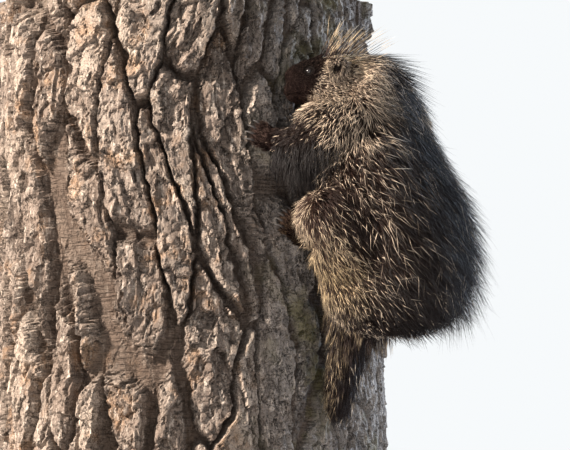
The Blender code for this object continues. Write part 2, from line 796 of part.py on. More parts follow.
def grow_coat(coat, forms):
    """Every node's locks, by the lie of the hair there."""

    def hang(out, ahead):
        return -UP + BACK * 0.10

    def off_neck(out, ahead):
        behind = max(0.0, out.dot(BACK))
        return -UP * (1.0 - 0.35 * behind) + BACK * (0.20 + 0.35 * behind)

    def crest(out, ahead):
        return -LOOK

    def cheek(out, ahead):
        return -UP - LOOK * 0.35

    def along_limb(out, ahead):
        return -UP + ahead * 0.35

    head, neck = forms["head"], forms["neck"]
    coat.grow("head", head, steps(0.3, 2.4, 4), (30, 150), 0.027, crest, (0.052, 0.050, 0.020))
    for angles in ((-60, 14), (166, 240)):
        coat.grow("head", head, (0.3, 1.3, 2.5), angles, 0.028, cheek, (0.046, 0.015, 0.025))
    coat.grow("neck", neck, steps(0.25, 1.8, 3), (-60, 240), 0.037, off_neck, (0.062, 0.027, 0.034))
    for word in ("left", "right"):
        arm, thigh = "foreleg_" + word, "hindleg_" + word
        size = (0.072, 0.018, 0.034)
        coat.grow(arm, forms[arm], steps(1.3, 3.4, 4), (-180, 140), 0.050, along_limb, size)
        coat.grow(thigh, forms[thigh], steps(1.4, 3.5, 5), (-180, 150), 0.044, hang, size)
    torso = forms["torso"]
    coat.grow("torso", torso, steps(1.9, 3.1, 3), (-30, 210), 0.044, hang, (0.058, 0.024, 0.040))
    coat.grow("torso", torso, steps(3.8, 7.8, 6), (-30, 210), 0.044, hang, (0.086, 0.030, 0.042))
    coat.grow("tail", forms["tail"], steps(1.2, 4.9, 6), (-40, 220), 0.030, hang, (0.054, 0.015, 0.026))


def main():
    for obj in list(bpy.data.objects):
        bpy.data.objects.remove(obj)
    make_stand()
    trunk = make_trunk()
    share = CORE_SHARE
    forms = {"torso": torso_form(), "head": head_form(), "tail": tail_form()}
    forms["neck"] = neck_form(forms["torso"], forms["head"])
    torso = skin_rings("torso", forms["torso"].rings(13, 20, share))
    neck = skin_rings("neck", forms["neck"].rings(4, 20, share))
    head = make_head(forms["head"], share)
    cut_clear(neck, torso)
    cut_clear(head, neck)
    eyes = make_eyes()
    ears = make_ears(head)
    tail = skin_rings("tail", forms["tail"].rings(9, 12, share))
    cut_clear(tail, torso, trunk)
    all_feet = feet()
    forms.update(limb_forms(all_feet))
    built = {name: foot.build(trunk) for name, foot in all_feet.items()}
    limbs = {}
    for foot_name, foot in built.items():
        name = foot_name.replace("forepaw", "foreleg").replace("hindfoot", "hindleg")
        limb = skin_rings(name, forms[name].rings(8, 13, share))
        cut_clear(limb, torso, neck, head, foot, trunk, *limbs.values())
        limbs[name] = limb
    cores = {obj.name: obj for obj in (head, neck, torso, tail, *limbs.values())}
    coat = Coat(cores, [trunk, *built.values(), *eyes, *ears])
    grow_coat(coat, forms)
    coat.fuse()
    for obj in cores.values():
        finish(obj, COAT, 0.8)


main()
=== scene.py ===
"""Looks of a porcupine on its cut length of trunk: bark, one skin, coat, eyes, claws, stand, light.

Lengths are in metres, in the frame of the solids: +Z is up and is the trunk's axis. The animal has its own
frame: u towards its left side, v out from the trunk's axis through its belly to its back, and z up.
"""

import math

import bmesh
import bpy
import numpy as np
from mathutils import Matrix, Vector
from mathutils.bvhtree import BVHTree
from mathutils.kdtree import KDTree


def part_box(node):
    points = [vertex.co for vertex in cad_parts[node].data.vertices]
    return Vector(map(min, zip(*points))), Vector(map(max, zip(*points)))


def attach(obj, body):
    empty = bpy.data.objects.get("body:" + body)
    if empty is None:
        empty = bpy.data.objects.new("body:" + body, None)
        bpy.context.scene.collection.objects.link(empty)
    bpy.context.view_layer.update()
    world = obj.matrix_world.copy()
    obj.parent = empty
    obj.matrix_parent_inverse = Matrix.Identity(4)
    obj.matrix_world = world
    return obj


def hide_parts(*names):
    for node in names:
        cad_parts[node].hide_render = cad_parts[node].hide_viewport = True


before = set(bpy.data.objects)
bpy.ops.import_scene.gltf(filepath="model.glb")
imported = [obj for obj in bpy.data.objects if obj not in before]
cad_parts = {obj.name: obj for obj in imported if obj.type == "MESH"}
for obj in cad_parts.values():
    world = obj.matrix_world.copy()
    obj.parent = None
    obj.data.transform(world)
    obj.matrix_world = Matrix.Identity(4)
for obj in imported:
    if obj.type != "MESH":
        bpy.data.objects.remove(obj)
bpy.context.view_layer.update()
DICE = np.random.default_rng(11)

# Trunk, as in the solids.
TRUNK_LOW, TRUNK_HIGH = (corner.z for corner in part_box("trunk"))
TRUNK_LENGTH = TRUNK_HIGH - TRUNK_LOW
TRUNK_RADIUS = 0.346
RIDGES = 22
RIDGE_DEPTH = 0.019
BARK_COLUMNS = 34
BARK_ROWS = 240
FLARE = 0.036
FLARE_ANGLE = math.radians(96)
FLARE_WIDTH = math.radians(27)
CALM_ANGLE = math.radians(68)
# Cells of the bark, each as how many to a ridge, their height and their seed.
PLATES = (1.5, 0.300, 20)
CHIPS = (4, 0.060, 30)
FLAKES = (9, 0.024, 40)

# Animal, as in the solids.
BODY_ANGLE = math.radians(52)
LEFT = Vector((-math.cos(BODY_ANGLE), -math.sin(BODY_ANGLE), 0))
BACK = Vector((math.sin(BODY_ANGLE), -math.cos(BODY_ANGLE), 0))
UP = Vector((0, 0, 1))
SKIN_SHARE = 0.28
HEAD_PLACE = Vector((0.285, -0.310, 0.764))
HEAD_YAW = math.radians(6)
LOOK = Vector((-math.cos(HEAD_YAW), -math.sin(HEAD_YAW), 0))
HEAD_LEFT = UP.cross(LOOK)
EYE_RADIUS = 0.0056
EYE_FORWARD = 0.053
EYE_UP = 0.0165
EYE_OUT = 0.0322
EAR_BACK = 0.004
EAR_UP = 0.020
EAR_OUT = 0.049
EAR_SIZE = (0.0135, 0.0075, 0.0165)
KNEE_OUT = 0.150
KNEE_BACK = 0.432
KNEE_HIGH = 0.548
SIDES = (1, -1)

# Camera: the photograph's frame is this many metres wide at the animal's depth.
PIXEL = 0.0018
FRAME_WIDTH = 570 * PIXEL
CAMERA_DISTANCE = 7.0
CAMERA_TILT = math.radians(-3)
CAMERA_TARGET = Vector((0.1926, -0.30, 0.507))
SENSOR_WIDTH = 36

# Lights: place, size, power and colour.
LIGHTS = {
    "key": ((-4.1, -1.8, 2.7), 0.4, 1000, (1.0, 0.91, 0.82)),
    "fill": ((1.2, -4.2, 1.4), 3.0, 30, (0.92, 0.95, 1.0)),
    "rim": ((3.4, 1.6, 2.0), 2.2, 350, (0.66, 0.80, 1.0)),
}
SOFT_LIGHT = 0.34
FLOOR_RADIUS = 12

SKIN_VOXEL = 0.0026
PIECE_TRIANGLES = 190000
TUFT_PATCH = 0.003
ROOT_SINK = 0.001
STRAND_THICKNESS = 0.6
# How many strands each layer of the coat has.
STRANDS = {
    "underfur": 23000,
    "guard_hair": 24000,
    "pale_hair": 23000,
    "long_hair": 7000,
    "tail_hair": 1900,
    "arm_hair": 2600,
    "crest": 130,
    "ear_fur": 2400,
    "short_fur": 17000,
}

# Whole numbers that stir the lattice of random numbers.
STIR = (73856093, 19349663, 83492791, 2654435761)


def array(vectors):
    """Vectors as rows of numbers."""
    return np.array([tuple(v) for v in vectors], float)


def unit(rows):
    """Each row at length 1."""
    return rows / np.maximum(np.linalg.norm(rows, axis=-1, keepdims=True), 1e-12)


def dot(a, b):
    """Row by row dot product, as a column."""
    return (a * b).sum(-1, keepdims=True)


def column(values):
    """Numbers as a column, to scale rows by."""
    return np.asarray(values)[:, None]


def bell(distance, width):
    """1 at no distance, falling off smoothly over a width."""
    return np.exp(-((distance / width) ** 2))


def distances(points, place):
    """How far each point is from a place."""
    return np.linalg.norm(points - np.array(place), axis=1)


def smooth(value, low, high):
    """0 below low, 1 above high and an even turn between them."""
    f = np.clip((value - low) / (high - low), 0, 1)
    return f * f * (3 - 2 * f)


def lattice(cells, seed):
    """A random number from 0 to 1 for each row of whole numbers."""
    mixed = cells[..., 0] * STIR[0] ^ cells[..., 1] * STIR[1] ^ cells[..., 2] * STIR[2] ^ seed * STIR[3]
    mixed = (mixed ^ (mixed >> 13)) * 1274126177 & 0xFFFFFFFF
    mixed = (mixed ^ (mixed >> 16)) * 668265263 & 0xFFFFFFFF
    return (mixed & 0xFFFFF) / 0xFFFFF


def cloud(points, size, seed=0):
    """Soft noise from -1 to 1 with lumps of one size."""
    scaled = np.asarray(points, float) / size
    whole = np.floor(scaled).astype(np.int64)
    part = scaled - whole
    part = part * part * (3 - 2 * part)
    total = 0
    for corner in np.ndindex(2, 2, 2):
        weight = np.prod(np.where(corner, part, 1 - part), axis=-1)
        total = total + weight * lattice(whole + corner, seed)
    return 2 * total - 1


def body_point(u, v, z):
    """A place given in the animal's frame."""
    return LEFT * u + BACK * v + UP * z


def head_point(forward, left, up):
    """A place given from the middle of the head."""
    return HEAD_PLACE + LOOK * forward + HEAD_LEFT * left + UP * up


def eye_place(side):
    """The middle of an eye."""
    return head_point(EYE_FORWARD, side * EYE_OUT, EYE_UP)


def ear_place(side):
    """The middle of an ear."""
    return head_point(EAR_BACK, side * EAR_OUT, EAR_UP)


def knee_place(side):
    """The whorl of the coat at a knee."""
    return body_point(side * KNEE_OUT, KNEE_BACK, KNEE_HIGH)


def grid(rows, columns):
    """The point numbers of a grid that closes round, and the triangles between its rows."""
    index = np.arange(rows * columns).reshape(rows, columns)
    low, high = index[:-1], index[1:]
    next_low, next_high = np.roll(low, -1, 1), np.roll(high, -1, 1)
    faces = [np.stack([low, next_low, next_high], -1), np.stack([low, next_high, high], -1)]
    return index, np.concatenate([f.reshape(-1, 3) for f in faces])


def quick_mesh(name, points, triangles):
    """A mesh object from arrays of points and triangles."""
    mesh = bpy.data.meshes.new(name)
    count = len(triangles)
    mesh.vertices.add(len(points))
    mesh.vertices.foreach_set("co", np.ascontiguousarray(points, np.float32).ravel())
    mesh.loops.add(3 * count)
    mesh.loops.foreach_set("vertex_index", np.ascontiguousarray(triangles, np.int32).ravel())
    mesh.polygons.add(count)
    mesh.polygons.foreach_set("loop_start", np.arange(0, 3 * count, 3, dtype=np.int32))
    mesh.polygons.foreach_set("use_smooth", np.ones(count, bool))
    mesh.update(calc_edges=True)
    obj = bpy.data.objects.new(name, mesh)
    bpy.context.scene.collection.objects.link(obj)
    return obj


def add_number(obj, name, values):
    """A number for each point of the mesh, for its material to read."""
    layer = obj.data.attributes.new(name, "FLOAT", "POINT")
    layer.data.foreach_set("value", np.ascontiguousarray(values, np.float32).ravel())


class Material:
    """A node material under construction."""

    def __init__(self, name):
        self.made = bpy.data.materials.new(name)
        self.made.use_nodes = True
        self.nodes = self.made.node_tree.nodes
        self.links = self.made.node_tree.links
        self.shader = self.nodes["Principled BSDF"]
        self.position = self.nodes.new("ShaderNodeTexCoord").outputs["Object"]

    def set(self, **sockets):
        """Puts numbers, colours or other sockets into the shader."""
        for name, value in sockets.items():
            self.put(self.shader.inputs[name.replace("_", " ")], value)

    def put(self, socket, value):
        """Fills one input with a number, a colour or an output."""
        if isinstance(value, bpy.types.NodeSocket):
            self.links.new(value, socket)
        elif isinstance(value, tuple) and len(value) == 3 and socket.type == "RGBA":
            socket.default_value = (*value, 1)
        else:
            socket.default_value = value

    def attribute(self, name):
        """A number that the mesh carries."""
        node = self.nodes.new("ShaderNodeAttribute")
        node.attribute_name = name
        return node.outputs["Fac"]

    def stretched(self, scale):
        """Coordinates scaled differently along each axis."""
        node = self.nodes.new("ShaderNodeMapping")
        self.links.new(self.position, node.inputs["Vector"])
        node.inputs["Scale"].default_value = scale
        return node.outputs["Vector"]

    def noise(self, scale, detail=3.0, roughness=0.5, vector=None):
        """Noise from 0 to 1."""
        node = self.nodes.new("ShaderNodeTexNoise")
        self.links.new(vector or self.position, node.inputs["Vector"])
        node.inputs["Scale"].default_value = scale
        node.inputs["Detail"].default_value = detail
        node.inputs["Roughness"].default_value = roughness
        return node.outputs["Fac"]

    def craggy(self, scale, detail, vector):
        """Noise with sharp ridges."""
        node = self.noise(scale, detail, 0.55, vector).node
        node.noise_type = "RIDGED_MULTIFRACTAL"
        node.normalize = True
        node.inputs["Offset"].default_value = 1.0
        node.inputs["Gain"].default_value = 1.6
        return node.outputs["Fac"]

    def ramp(self, value, *stops):
        """A colour or grey by a number: stops are (place, colour or number)."""
        node = self.nodes.new("ShaderNodeValToRGB")
        points = node.color_ramp.elements
        while len(points) < len(stops):
            points.new(0.5)
        for point, (place, colour) in zip(points, stops):
            point.position = place
            point.color = (*colour, 1) if isinstance(colour, tuple) else (colour, colour, colour, 1)
        self.put(node.inputs["Fac"], value)
        return node.outputs["Color"]

    def mix(self, share, a, b):
        """Two colours blended by a share."""
        node = self.nodes.new("ShaderNodeMix")
        node.data_type = "RGBA"
        self.put(node.inputs[0], share)
        self.put(node.inputs[6], a)
        self.put(node.inputs[7], b)
        return node.outputs[2]

    def math(self, kind, a, b=0.0, c=0.0):
        """Arithmetic on numbers."""
        node = self.nodes.new("ShaderNodeMath")
        node.operation = kind
        for socket, value in zip(node.inputs, (a, b, c)):
            self.put(socket, value)
        return node.outputs[0]

    def bump(self, height, strength, distance):
        """Relief on the surface."""
        node = self.nodes.new("ShaderNodeBump")
        node.inputs["Strength"].default_value = strength
        node.inputs["Distance"].default_value = distance
        self.links.new(height, node.inputs["Height"])
        self.links.new(node.outputs["Normal"], self.shader.inputs["Normal"])
        return self


def dress(obj, material):
    """Gives a piece its material and the body that it rides on."""
    obj.data.materials.clear()
    obj.data.materials.append(material.made)
    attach(obj, "root")


# Trunk.


def bark_turn(ridge, z):
    """The angle round the trunk of a ridge number, as it wanders with height."""
    turn = 2 * np.pi * ridge / RIDGES
    turn = turn + 0.05 * np.sin(3 * turn + 1.0)
    return turn + 0.075 * np.sin(5.2 * z + 0.4) + 0.03 * np.sin(13.0 * z + 2.0)


def ridge_at(angle, z):
    """The ridge number at an angle round the trunk."""
    ridge = angle * RIDGES / (2 * np.pi)
    for _ in range(8):
        ridge = ridge + (angle - bark_turn(ridge, z)) * RIDGES / (2 * np.pi)
    return ridge


def bark_radius(ridge, z, smoothly=False):
    """The trunk's radius to its bark, as in the solids or, smoothly, without its furrows."""
    turn = 2 * np.pi * ridge / RIDGES
    angle = bark_turn(ridge, z)
    wrapped = (angle + np.pi) % (2 * np.pi) - np.pi
    hollow = bell(wrapped - math.radians(42), math.radians(22))
    radius = TRUNK_RADIUS - 0.010 * hollow + 0.006 * np.sin(2 * turn + 0.8)
    crest = smooth(np.abs(ridge - np.round(ridge)), 0.0, 0.24)
    plates = 0.78 + 0.22 * np.sin(9.0 * z + 2.4 * np.round(ridge - 0.5))
    if smoothly:
        crest = 1.0
    depth = RIDGE_DEPTH * (1.0 + 0.35 * np.cos(turn + 0.6)) * (1 - 0.35 * hollow)
    radius = radius + depth * (crest * plates - 0.5)
    fall = 1 - (z - TRUNK_LOW) / TRUNK_LENGTH
    return radius + FLARE * (0.15 + 0.85 * fall) * bell(wrapped - FLARE_ANGLE, FLARE_WIDTH)


def bark_cells(ridge, z, per_ridge, tall, seed):
    """For places on the bark, their random cell's tone, its slant there and the gap to the next cell."""
    x, y = ridge * per_ridge, z / tall
    middle_x, middle_y = np.floor(x), np.floor(y)
    near, second = np.full(len(x), 9.0), np.full(len(x), 9.0)
    tone, across, along = (np.zeros(len(x)) for _ in range(3))
    for step in np.ndindex(3, 3):
        cell_x, cell_y = middle_x + step[0] - 1, middle_y + step[1] - 1
        cell = np.column_stack([cell_x % (RIDGES * per_ridge), cell_y, cell_y * 0]).astype(np.int64)
        away_x = x - cell_x - 0.05 - 0.9 * lattice(cell, seed)
        away_y = y - cell_y - 0.05 - 0.9 * lattice(cell, seed + 1)
        distance = np.hypot(away_x, away_y)
        closer = distance < near
        second = np.where(closer, near, np.minimum(second, distance))
        near = np.where(closer, distance, near)
        tone = np.where(closer, lattice(cell, seed + 2), tone)
        across = np.where(closer, away_x * (2 * lattice(cell, seed + 3) - 1), across)
        along = np.where(closer, away_y * (2 * lattice(cell, seed + 4) - 1.6), along)
    return tone, across + along, second - near


def clear_of_bark(points, gap):
    """Points pushed out from the trunk's axis to a gap over the solids' bark."""
    angle = np.arctan2(points[:, 0], -points[:, 1])
    z = np.clip(points[:, 2], TRUNK_LOW, TRUNK_HIGH)
    least = bark_radius(ridge_at(angle, z), z) + gap
    radius = np.hypot(points[:, 0], points[:, 1])
    beside = (points[:, 2] > TRUNK_LOW - 0.01) & (points[:, 2] < TRUNK_HIGH + 0.01)
    factor = np.where(beside & (radius < least), least / np.maximum(radius, 1e-6), 1.0)
    return np.column_stack([points[:, 0] * factor, points[:, 1] * factor, points[:, 2]])


def bark_form(ridge, z, turn):
    """The bark's radius at ridge numbers and heights, and the numbers that its material reads there."""
    around = TRUNK_RADIUS * np.column_stack([np.sin(turn), -np.cos(turn), z / TRUNK_RADIUS])
    tall = around * [1, 1, 0.45]
    calm = smooth(np.cos(turn - CALM_ANGLE), 0.55, 0.92)
    rough = 1 - 0.50 * calm
    wander = ridge + 0.20 * cloud(tall, 0.110, 1) * rough + 0.10 * cloud(tall, 0.040, 2)
    wander += 0.050 * cloud(around, 0.014, 3)
    warped_z = z + 0.020 * cloud(around, 0.050, 5) + 0.006 * cloud(around, 0.012, 6)
    plate, plate_lean, gap = bark_cells(wander, warped_z, *PLATES)
    chip, chip_lean, chip_gap = bark_cells(wander, warped_z, *CHIPS)
    flake, flake_lean, flake_gap = bark_cells(wander, warped_z, *FLAKES)
    width = 0.05 + 0.42 * np.clip(cloud(tall, 0.09, 4) + 0.20, 0, 1) - 0.03 * calm
    crest = smooth(gap, 0.3 * width, width + 0.09)
    cracks = (0.45 + 0.55 * smooth(chip_gap, 0.0, 0.09)) * (0.75 + 0.25 * smooth(flake_gap, 0, 0.16))
    layers = warped_z / 0.015 + 1.2 * cloud(around, 0.03, 8)
    flank = crest * (1 - crest) * 4
    shelf = crest + 0.30 * flank * (smooth(layers % 1, 0.0, 0.7) - 0.5)
    relief = (0.0120 * (plate - 0.5) + 0.0130 * plate_lean) * rough
    relief += (0.0080 * (chip - 0.5) + 0.0110 * chip_lean) * (0.4 + 0.6 * rough)
    relief += 0.0030 * (flake - 0.5) + 0.0050 * flake_lean
    relief -= 0.0070 * (1 - cracks) + 0.0012 * cloud(around * [1, 1, 0.3], 0.0050, 16)
    flat = bark_radius(ridge, z, smoothly=True)
    plain = bark_radius(ridge, z)
    depth = RIDGE_DEPTH * (1.80 - 1.00 * calm)
    radius = flat + (plain - flat) * 0.15 - depth * (1 - shelf) + relief * (0.20 + 0.80 * crest)
    # The crest number is low in the furrows and in the cracks between chips; the bark material paints shade
    # from it there.
    numbers = {"crest": crest * (0.35 + 0.65 * cracks), "tone": 0.5 * plate + 0.5 * chip, "calm": calm}
    return np.minimum(radius, flat + 0.008), numbers


def make_bark():
    """The bark: rough plates between furrows, and the sawn ends."""
    columns, rows = RIDGES * BARK_COLUMNS, BARK_ROWS
    ridge, z = np.meshgrid(np.arange(columns) * RIDGES / columns, np.linspace(TRUNK_LOW, TRUNK_HIGH, rows))
    ridge, z = ridge.ravel(), z.ravel()
    turn = bark_turn(ridge, z)
    radius, numbers = bark_form(ridge, z, turn)
    points = np.column_stack([radius * np.sin(turn), -radius * np.cos(turn), z])
    index, sides = grid(rows, columns)
    ends = []
    for row, flip in ((0, True), (rows - 1, False)):
        edge = index[row]
        centre = len(points)
        points = np.vstack([points, [[0, 0, points[edge[0], 2]]]])
        fan = np.stack([edge, np.roll(edge, -1), np.full(columns, centre)], -1)
        ends.append(fan[:, ::-1] if flip else fan)
    bark = quick_mesh("bark", points, np.concatenate([sides, *ends]))
    for name, values in numbers.items():
        add_number(bark, name, np.concatenate([values, np.zeros(len(ends))]))
    materials = np.zeros(len(bark.data.polygons), np.int32)
    materials[len(sides) :] = 1
    dress(bark, bark_material())
    bark.data.materials.append(sawn_wood().made)
    bark.data.polygons.foreach_set("material_index", materials)
    bark.data.polygons.foreach_set("use_smooth", np.zeros(len(materials), bool))
    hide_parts("trunk")


def bark_material():
    """Tan and grey-brown plates with cracks and furrow floors darkened by painted shade, ochre inner bark,
    pale flakes and some moss.
    """
    m = Material("bark")
    crest, tone, calm = m.attribute("crest"), m.attribute("tone"), m.attribute("calm")
    fibre = m.noise(130, 6, 0.70, m.stretched((1, 1, 0.22)))
    broad = m.noise(9, 4, 0.6)
    fine = m.noise(330, 4, 0.70)
    crags = m.craggy(55, 6, m.stretched((1, 1, 0.55)))
    layers = m.craggy(60, 4, m.stretched((0.35, 0.35, 2.2)))
    lines = m.noise(36, 5, 0.62, m.stretched((1, 1, 0.7)))
    cracks = m.ramp(lines, (0.474, 0.0), (0.490, 1.0), (0.506, 0.0))
    dark_tan, mid_tan, light_tan = (0.105, 0.074, 0.056), (0.200, 0.150, 0.118), (0.360, 0.285, 0.225)
    tan = m.ramp(tone, (0.0, dark_tan), (0.5, mid_tan), (1.0, light_tan))
    grey = m.ramp(tone, (0.0, (0.150, 0.128, 0.112)), (1.0, (0.300, 0.262, 0.232)))
    plate = m.mix(m.math("MULTIPLY_ADD", m.ramp(broad, (0.40, 0.0), (0.68, 1.0)), 0.30, calm), tan, grey)
    stained = m.ramp(m.noise(15, 4, 0.6), (0.55, 0.0), (0.66, 0.6))
    ochre = m.math("MULTIPLY", stained, m.math("SUBTRACT", 1.0, calm))
    plate = m.mix(ochre, plate, (0.30, 0.175, 0.095))
    worn = m.mix(m.ramp(fibre, (0.52, 0.0), (0.68, 0.80)), plate, (0.62, 0.520, 0.430))
    dirty = m.mix(m.ramp(fine, (0.36, 0.8), (0.50, 0.0)), worn, (0.060, 0.043, 0.033))
    # Painted shade: the noise cracks are painted near black, standing in for the shade inside them.
    painted_crack_shade = m.mix(m.math("MULTIPLY", cracks, 0.85), dirty, (0.022, 0.015, 0.012))
    # Painted shade: the furrow floors and chip cracks are darkened by the crest number, standing in for the
    # shade that falls in them.
    painted_furrow_shade = m.mix(m.ramp(crest, (0.0, 0.75), (0.50, 0.0)), painted_crack_shade, (0.085, 0.057, 0.041))
    patches = m.ramp(m.noise(6.5, 4, 0.62), (0.53, 0.0), (0.64, 1.0))
    moss = m.math("MULTIPLY", m.math("MULTIPLY", patches, m.ramp(fine, (0.35, 0.3), (0.6, 0.9))), calm)
    m.set(Base_Color=m.mix(moss, painted_furrow_shade, (0.120, 0.102, 0.036)), Roughness=0.93, Specular_IOR_Level=0.18)
    shelves = m.math("MULTIPLY", layers, m.ramp(crest, (0.45, 1.0), (0.95, 0.25)))
    relief = m.math("ADD", m.math("MULTIPLY", crags, 0.3), shelves)
    relief = m.math("ADD", relief, m.math("MULTIPLY", m.math("ADD", fibre, fine), 0.75))
    relief = m.math("SUBTRACT", relief, m.math("MULTIPLY", cracks, 0.8))
    return m.bump(relief, 1.0, 0.0030)


def sawn_wood():
    """End grain with growth rings."""
    m = Material("sawn_wood")
    node = m.nodes.new("ShaderNodeTexWave")
    node.wave_type = "RINGS"
    node.rings_direction = "Z"
    node.inputs["Scale"].default_value = 14
    node.inputs["Distortion"].default_value = 2.4
    node.inputs["Detail"].default_value = 3
    node.inputs["Detail Scale"].default_value = 1.4
    m.links.new(m.position, node.inputs["Vector"])
    rings = m.ramp(node.outputs["Fac"], (0.15, (0.115, 0.076, 0.046)), (0.85, (0.200, 0.142, 0.090)))
    saw = m.noise(240, 2, 0.5, m.stretched((0.06, 1, 1)))
    cut = m.mix(m.ramp(saw, (0.35, 0.45), (0.6, 0.0)), rings, (0.09, 0.058, 0.035))
    m.set(Base_Color=cut, Roughness=0.95, Specular_IOR_Level=0.05)
    return m.bump(saw, 0.4, 0.001)


# Skin.


class Form:
    """A smooth form through cross-sections, each a half ellipse above a side axis and one below it.

    A section is (centre, side axis, top axis, half width, rise, drop, coat at the side, top and bottom).
    """

    def __init__(self, sections):
        self.rows = np.array([[*c, *s, *t, *sizes] for c, s, t, *sizes in sections])
        self.last = len(self.rows) - 1

    def at(self, place):
        """The section at a place along the form, from 0 to the last section's number."""
        i = min(int(place), self.last - 1)
        f = place - i
        a, b = self.rows[i], self.rows[i + 1]
        before = self.rows[i - 1] if i > 0 else 2 * a - b
        after = self.rows[i + 2] if i + 2 <= self.last else 2 * b - a
        slope_a, slope_b = (b - before) / 2, (after - a) / 2
        return (
            (2 * f**3 - 3 * f**2 + 1) * a
            + (f**3 - 2 * f**2 + f) * slope_a
            + (3 * f**2 - 2 * f**3) * b
            + (f**3 - f**2) * slope_b
        )

    def ring(self, place, columns, share):
        """Points round one section, raised by a share of the coat."""
        row = self.at(place)
        turns = np.arange(columns) * 2 * np.pi / columns
        across, over = np.cos(turns)[:, None], np.sin(turns)[:, None]
        rise = np.where(over > 0, row[10] + share * row[13], row[11] + share * row[14])
        side, top = unit(row[3:6]), unit(row[6:9])
        return row[0:3] + side * across * (row[9] + share * row[12]) + top * over * rise

    def loft(self, name, rows=40, columns=40, share=SKIN_SHARE):
        """A closed mesh of the form."""
        rings = [self.ring(self.last * r / (rows - 1), columns, share) for r in range(rows)]
        points = np.vstack([*rings, rings[0].mean(0)[None], rings[-1].mean(0)[None]])
        index, sides = grid(rows, columns)
        faces = [sides]
        for row, pole in ((0, rows * columns), (rows - 1, rows * columns + 1)):
            edge = index[row]
            faces.append(np.stack([edge, np.roll(edge, -1), np.full(columns, pole)], -1))
        return quick_mesh(name, points, np.concatenate(faces))


def torso_form():
    """From the rump up to the shoulders."""
    table = [
        # z, out, half width, rise, drop, coat at the side, back and belly
        (0.318, 0.456, 0.012, 0.012, 0.012, 0.010, 0.036, 0.003),
        (0.330, 0.460, 0.052, 0.052, 0.046, 0.034, 0.090, 0.006),
        (0.358, 0.468, 0.082, 0.082, 0.074, 0.046, 0.108, 0.008),
        (0.410, 0.480, 0.102, 0.101, 0.094, 0.054, 0.086, 0.010),
        (0.470, 0.482, 0.108, 0.104, 0.098, 0.056, 0.069, 0.010),
        (0.530, 0.477, 0.107, 0.098, 0.095, 0.056, 0.064, 0.010),
        (0.590, 0.464, 0.099, 0.089, 0.084, 0.054, 0.060, 0.010),
        (0.650, 0.448, 0.088, 0.079, 0.072, 0.050, 0.056, 0.010),
        (0.700, 0.440, 0.077, 0.068, 0.064, 0.044, 0.050, 0.010),
    ]
    return Form([(body_point(0, v, z), LEFT, BACK, *sizes) for z, v, *sizes in table])


def head_form():
    """From the back of the skull to the nose."""
    table = [
        # forward, up, half width, rise, drop, coat at the side, top and bottom
        (-0.045, -0.001, 0.048, 0.040, 0.047, 0.016, 0.021, 0.014),
        (-0.020, -0.001, 0.050, 0.042, 0.050, 0.012, 0.015, 0.012),
        (0.010, 0.000, 0.048, 0.042, 0.049, 0.009, 0.009, 0.009),
        (0.035, 0.000, 0.043, 0.041, 0.046, 0.005, 0.004, 0.006),
        (0.055, 0.001, 0.037, 0.036, 0.041, 0.002, 0.002, 0.004),
        (0.070, 0.000, 0.032, 0.031, 0.037, 0.001, 0.001, 0.002),
        (0.081, -0.003, 0.027, 0.028, 0.031, 0.001, 0.001, 0.001),
        (0.088, -0.004, 0.021, 0.022, 0.023, 0.000, 0.000, 0.000),
        (0.092, -0.005, 0.012, 0.012, 0.012, 0.000, 0.000, 0.000),
    ]
    return Form([(head_point(x, 0, up), HEAD_LEFT, UP, *sizes) for x, up, *sizes in table])


def neck_form(torso, head):
    """From inside the shoulders to inside the skull, turning from upright to level."""
    low, high = torso.rows[-1], head.rows[0]
    middle = (low + high) / 2
    middle[0:3] += 0.006 * (UP + BACK)
    middle[10] += 0.004
    rows = [torso.rows[-2], low, middle, high, head.rows[1]]
    return Form([(r[0:3], unit(r[3:6]), unit(r[6:9]), *r[9:]) for r in rows])


def tail_form():
    """From inside the rump down along the bark."""
    table = [
        # z, u, out, half width, rise, drop, coat at the side, back and belly
        (0.372, 0.000, 0.440, 0.026, 0.026, 0.024, 0.012, 0.012, 0.003),
        (0.335, 0.008, 0.424, 0.027, 0.025, 0.026, 0.019, 0.018, 0.003),
        (0.290, 0.018, 0.404, 0.025, 0.021, 0.022, 0.021, 0.021, 0.003),
        (0.245, 0.024, 0.394, 0.021, 0.017, 0.019, 0.021, 0.021, 0.003),
        (0.205, 0.028, 0.390, 0.017, 0.013, 0.015, 0.020, 0.020, 0.003),
        (0.176, 0.030, 0.388, 0.012, 0.009, 0.011, 0.014, 0.014, 0.003),
        (0.162, 0.031, 0.387, 0.006, 0.005, 0.005, 0.001, 0.001, 0.001),
    ]
    return Form([(body_point(u, v, z), LEFT, BACK, *s) for z, u, v, *s in table])


def limb_form(points, radii, coats):
    """A limb through points of the animal's frame, round in section."""
    places = [body_point(*p) for p in points]
    sections = []
    for i, place in enumerate(places):
        ahead = (places[min(i + 1, len(places) - 1)] - places[max(i - 1, 0)]).normalized()
        side = ahead.cross(BACK).normalized()
        sections.append((place, side, side.cross(ahead), *[radii[i]] * 3, *[coats[i]] * 3))
    return Form(sections)


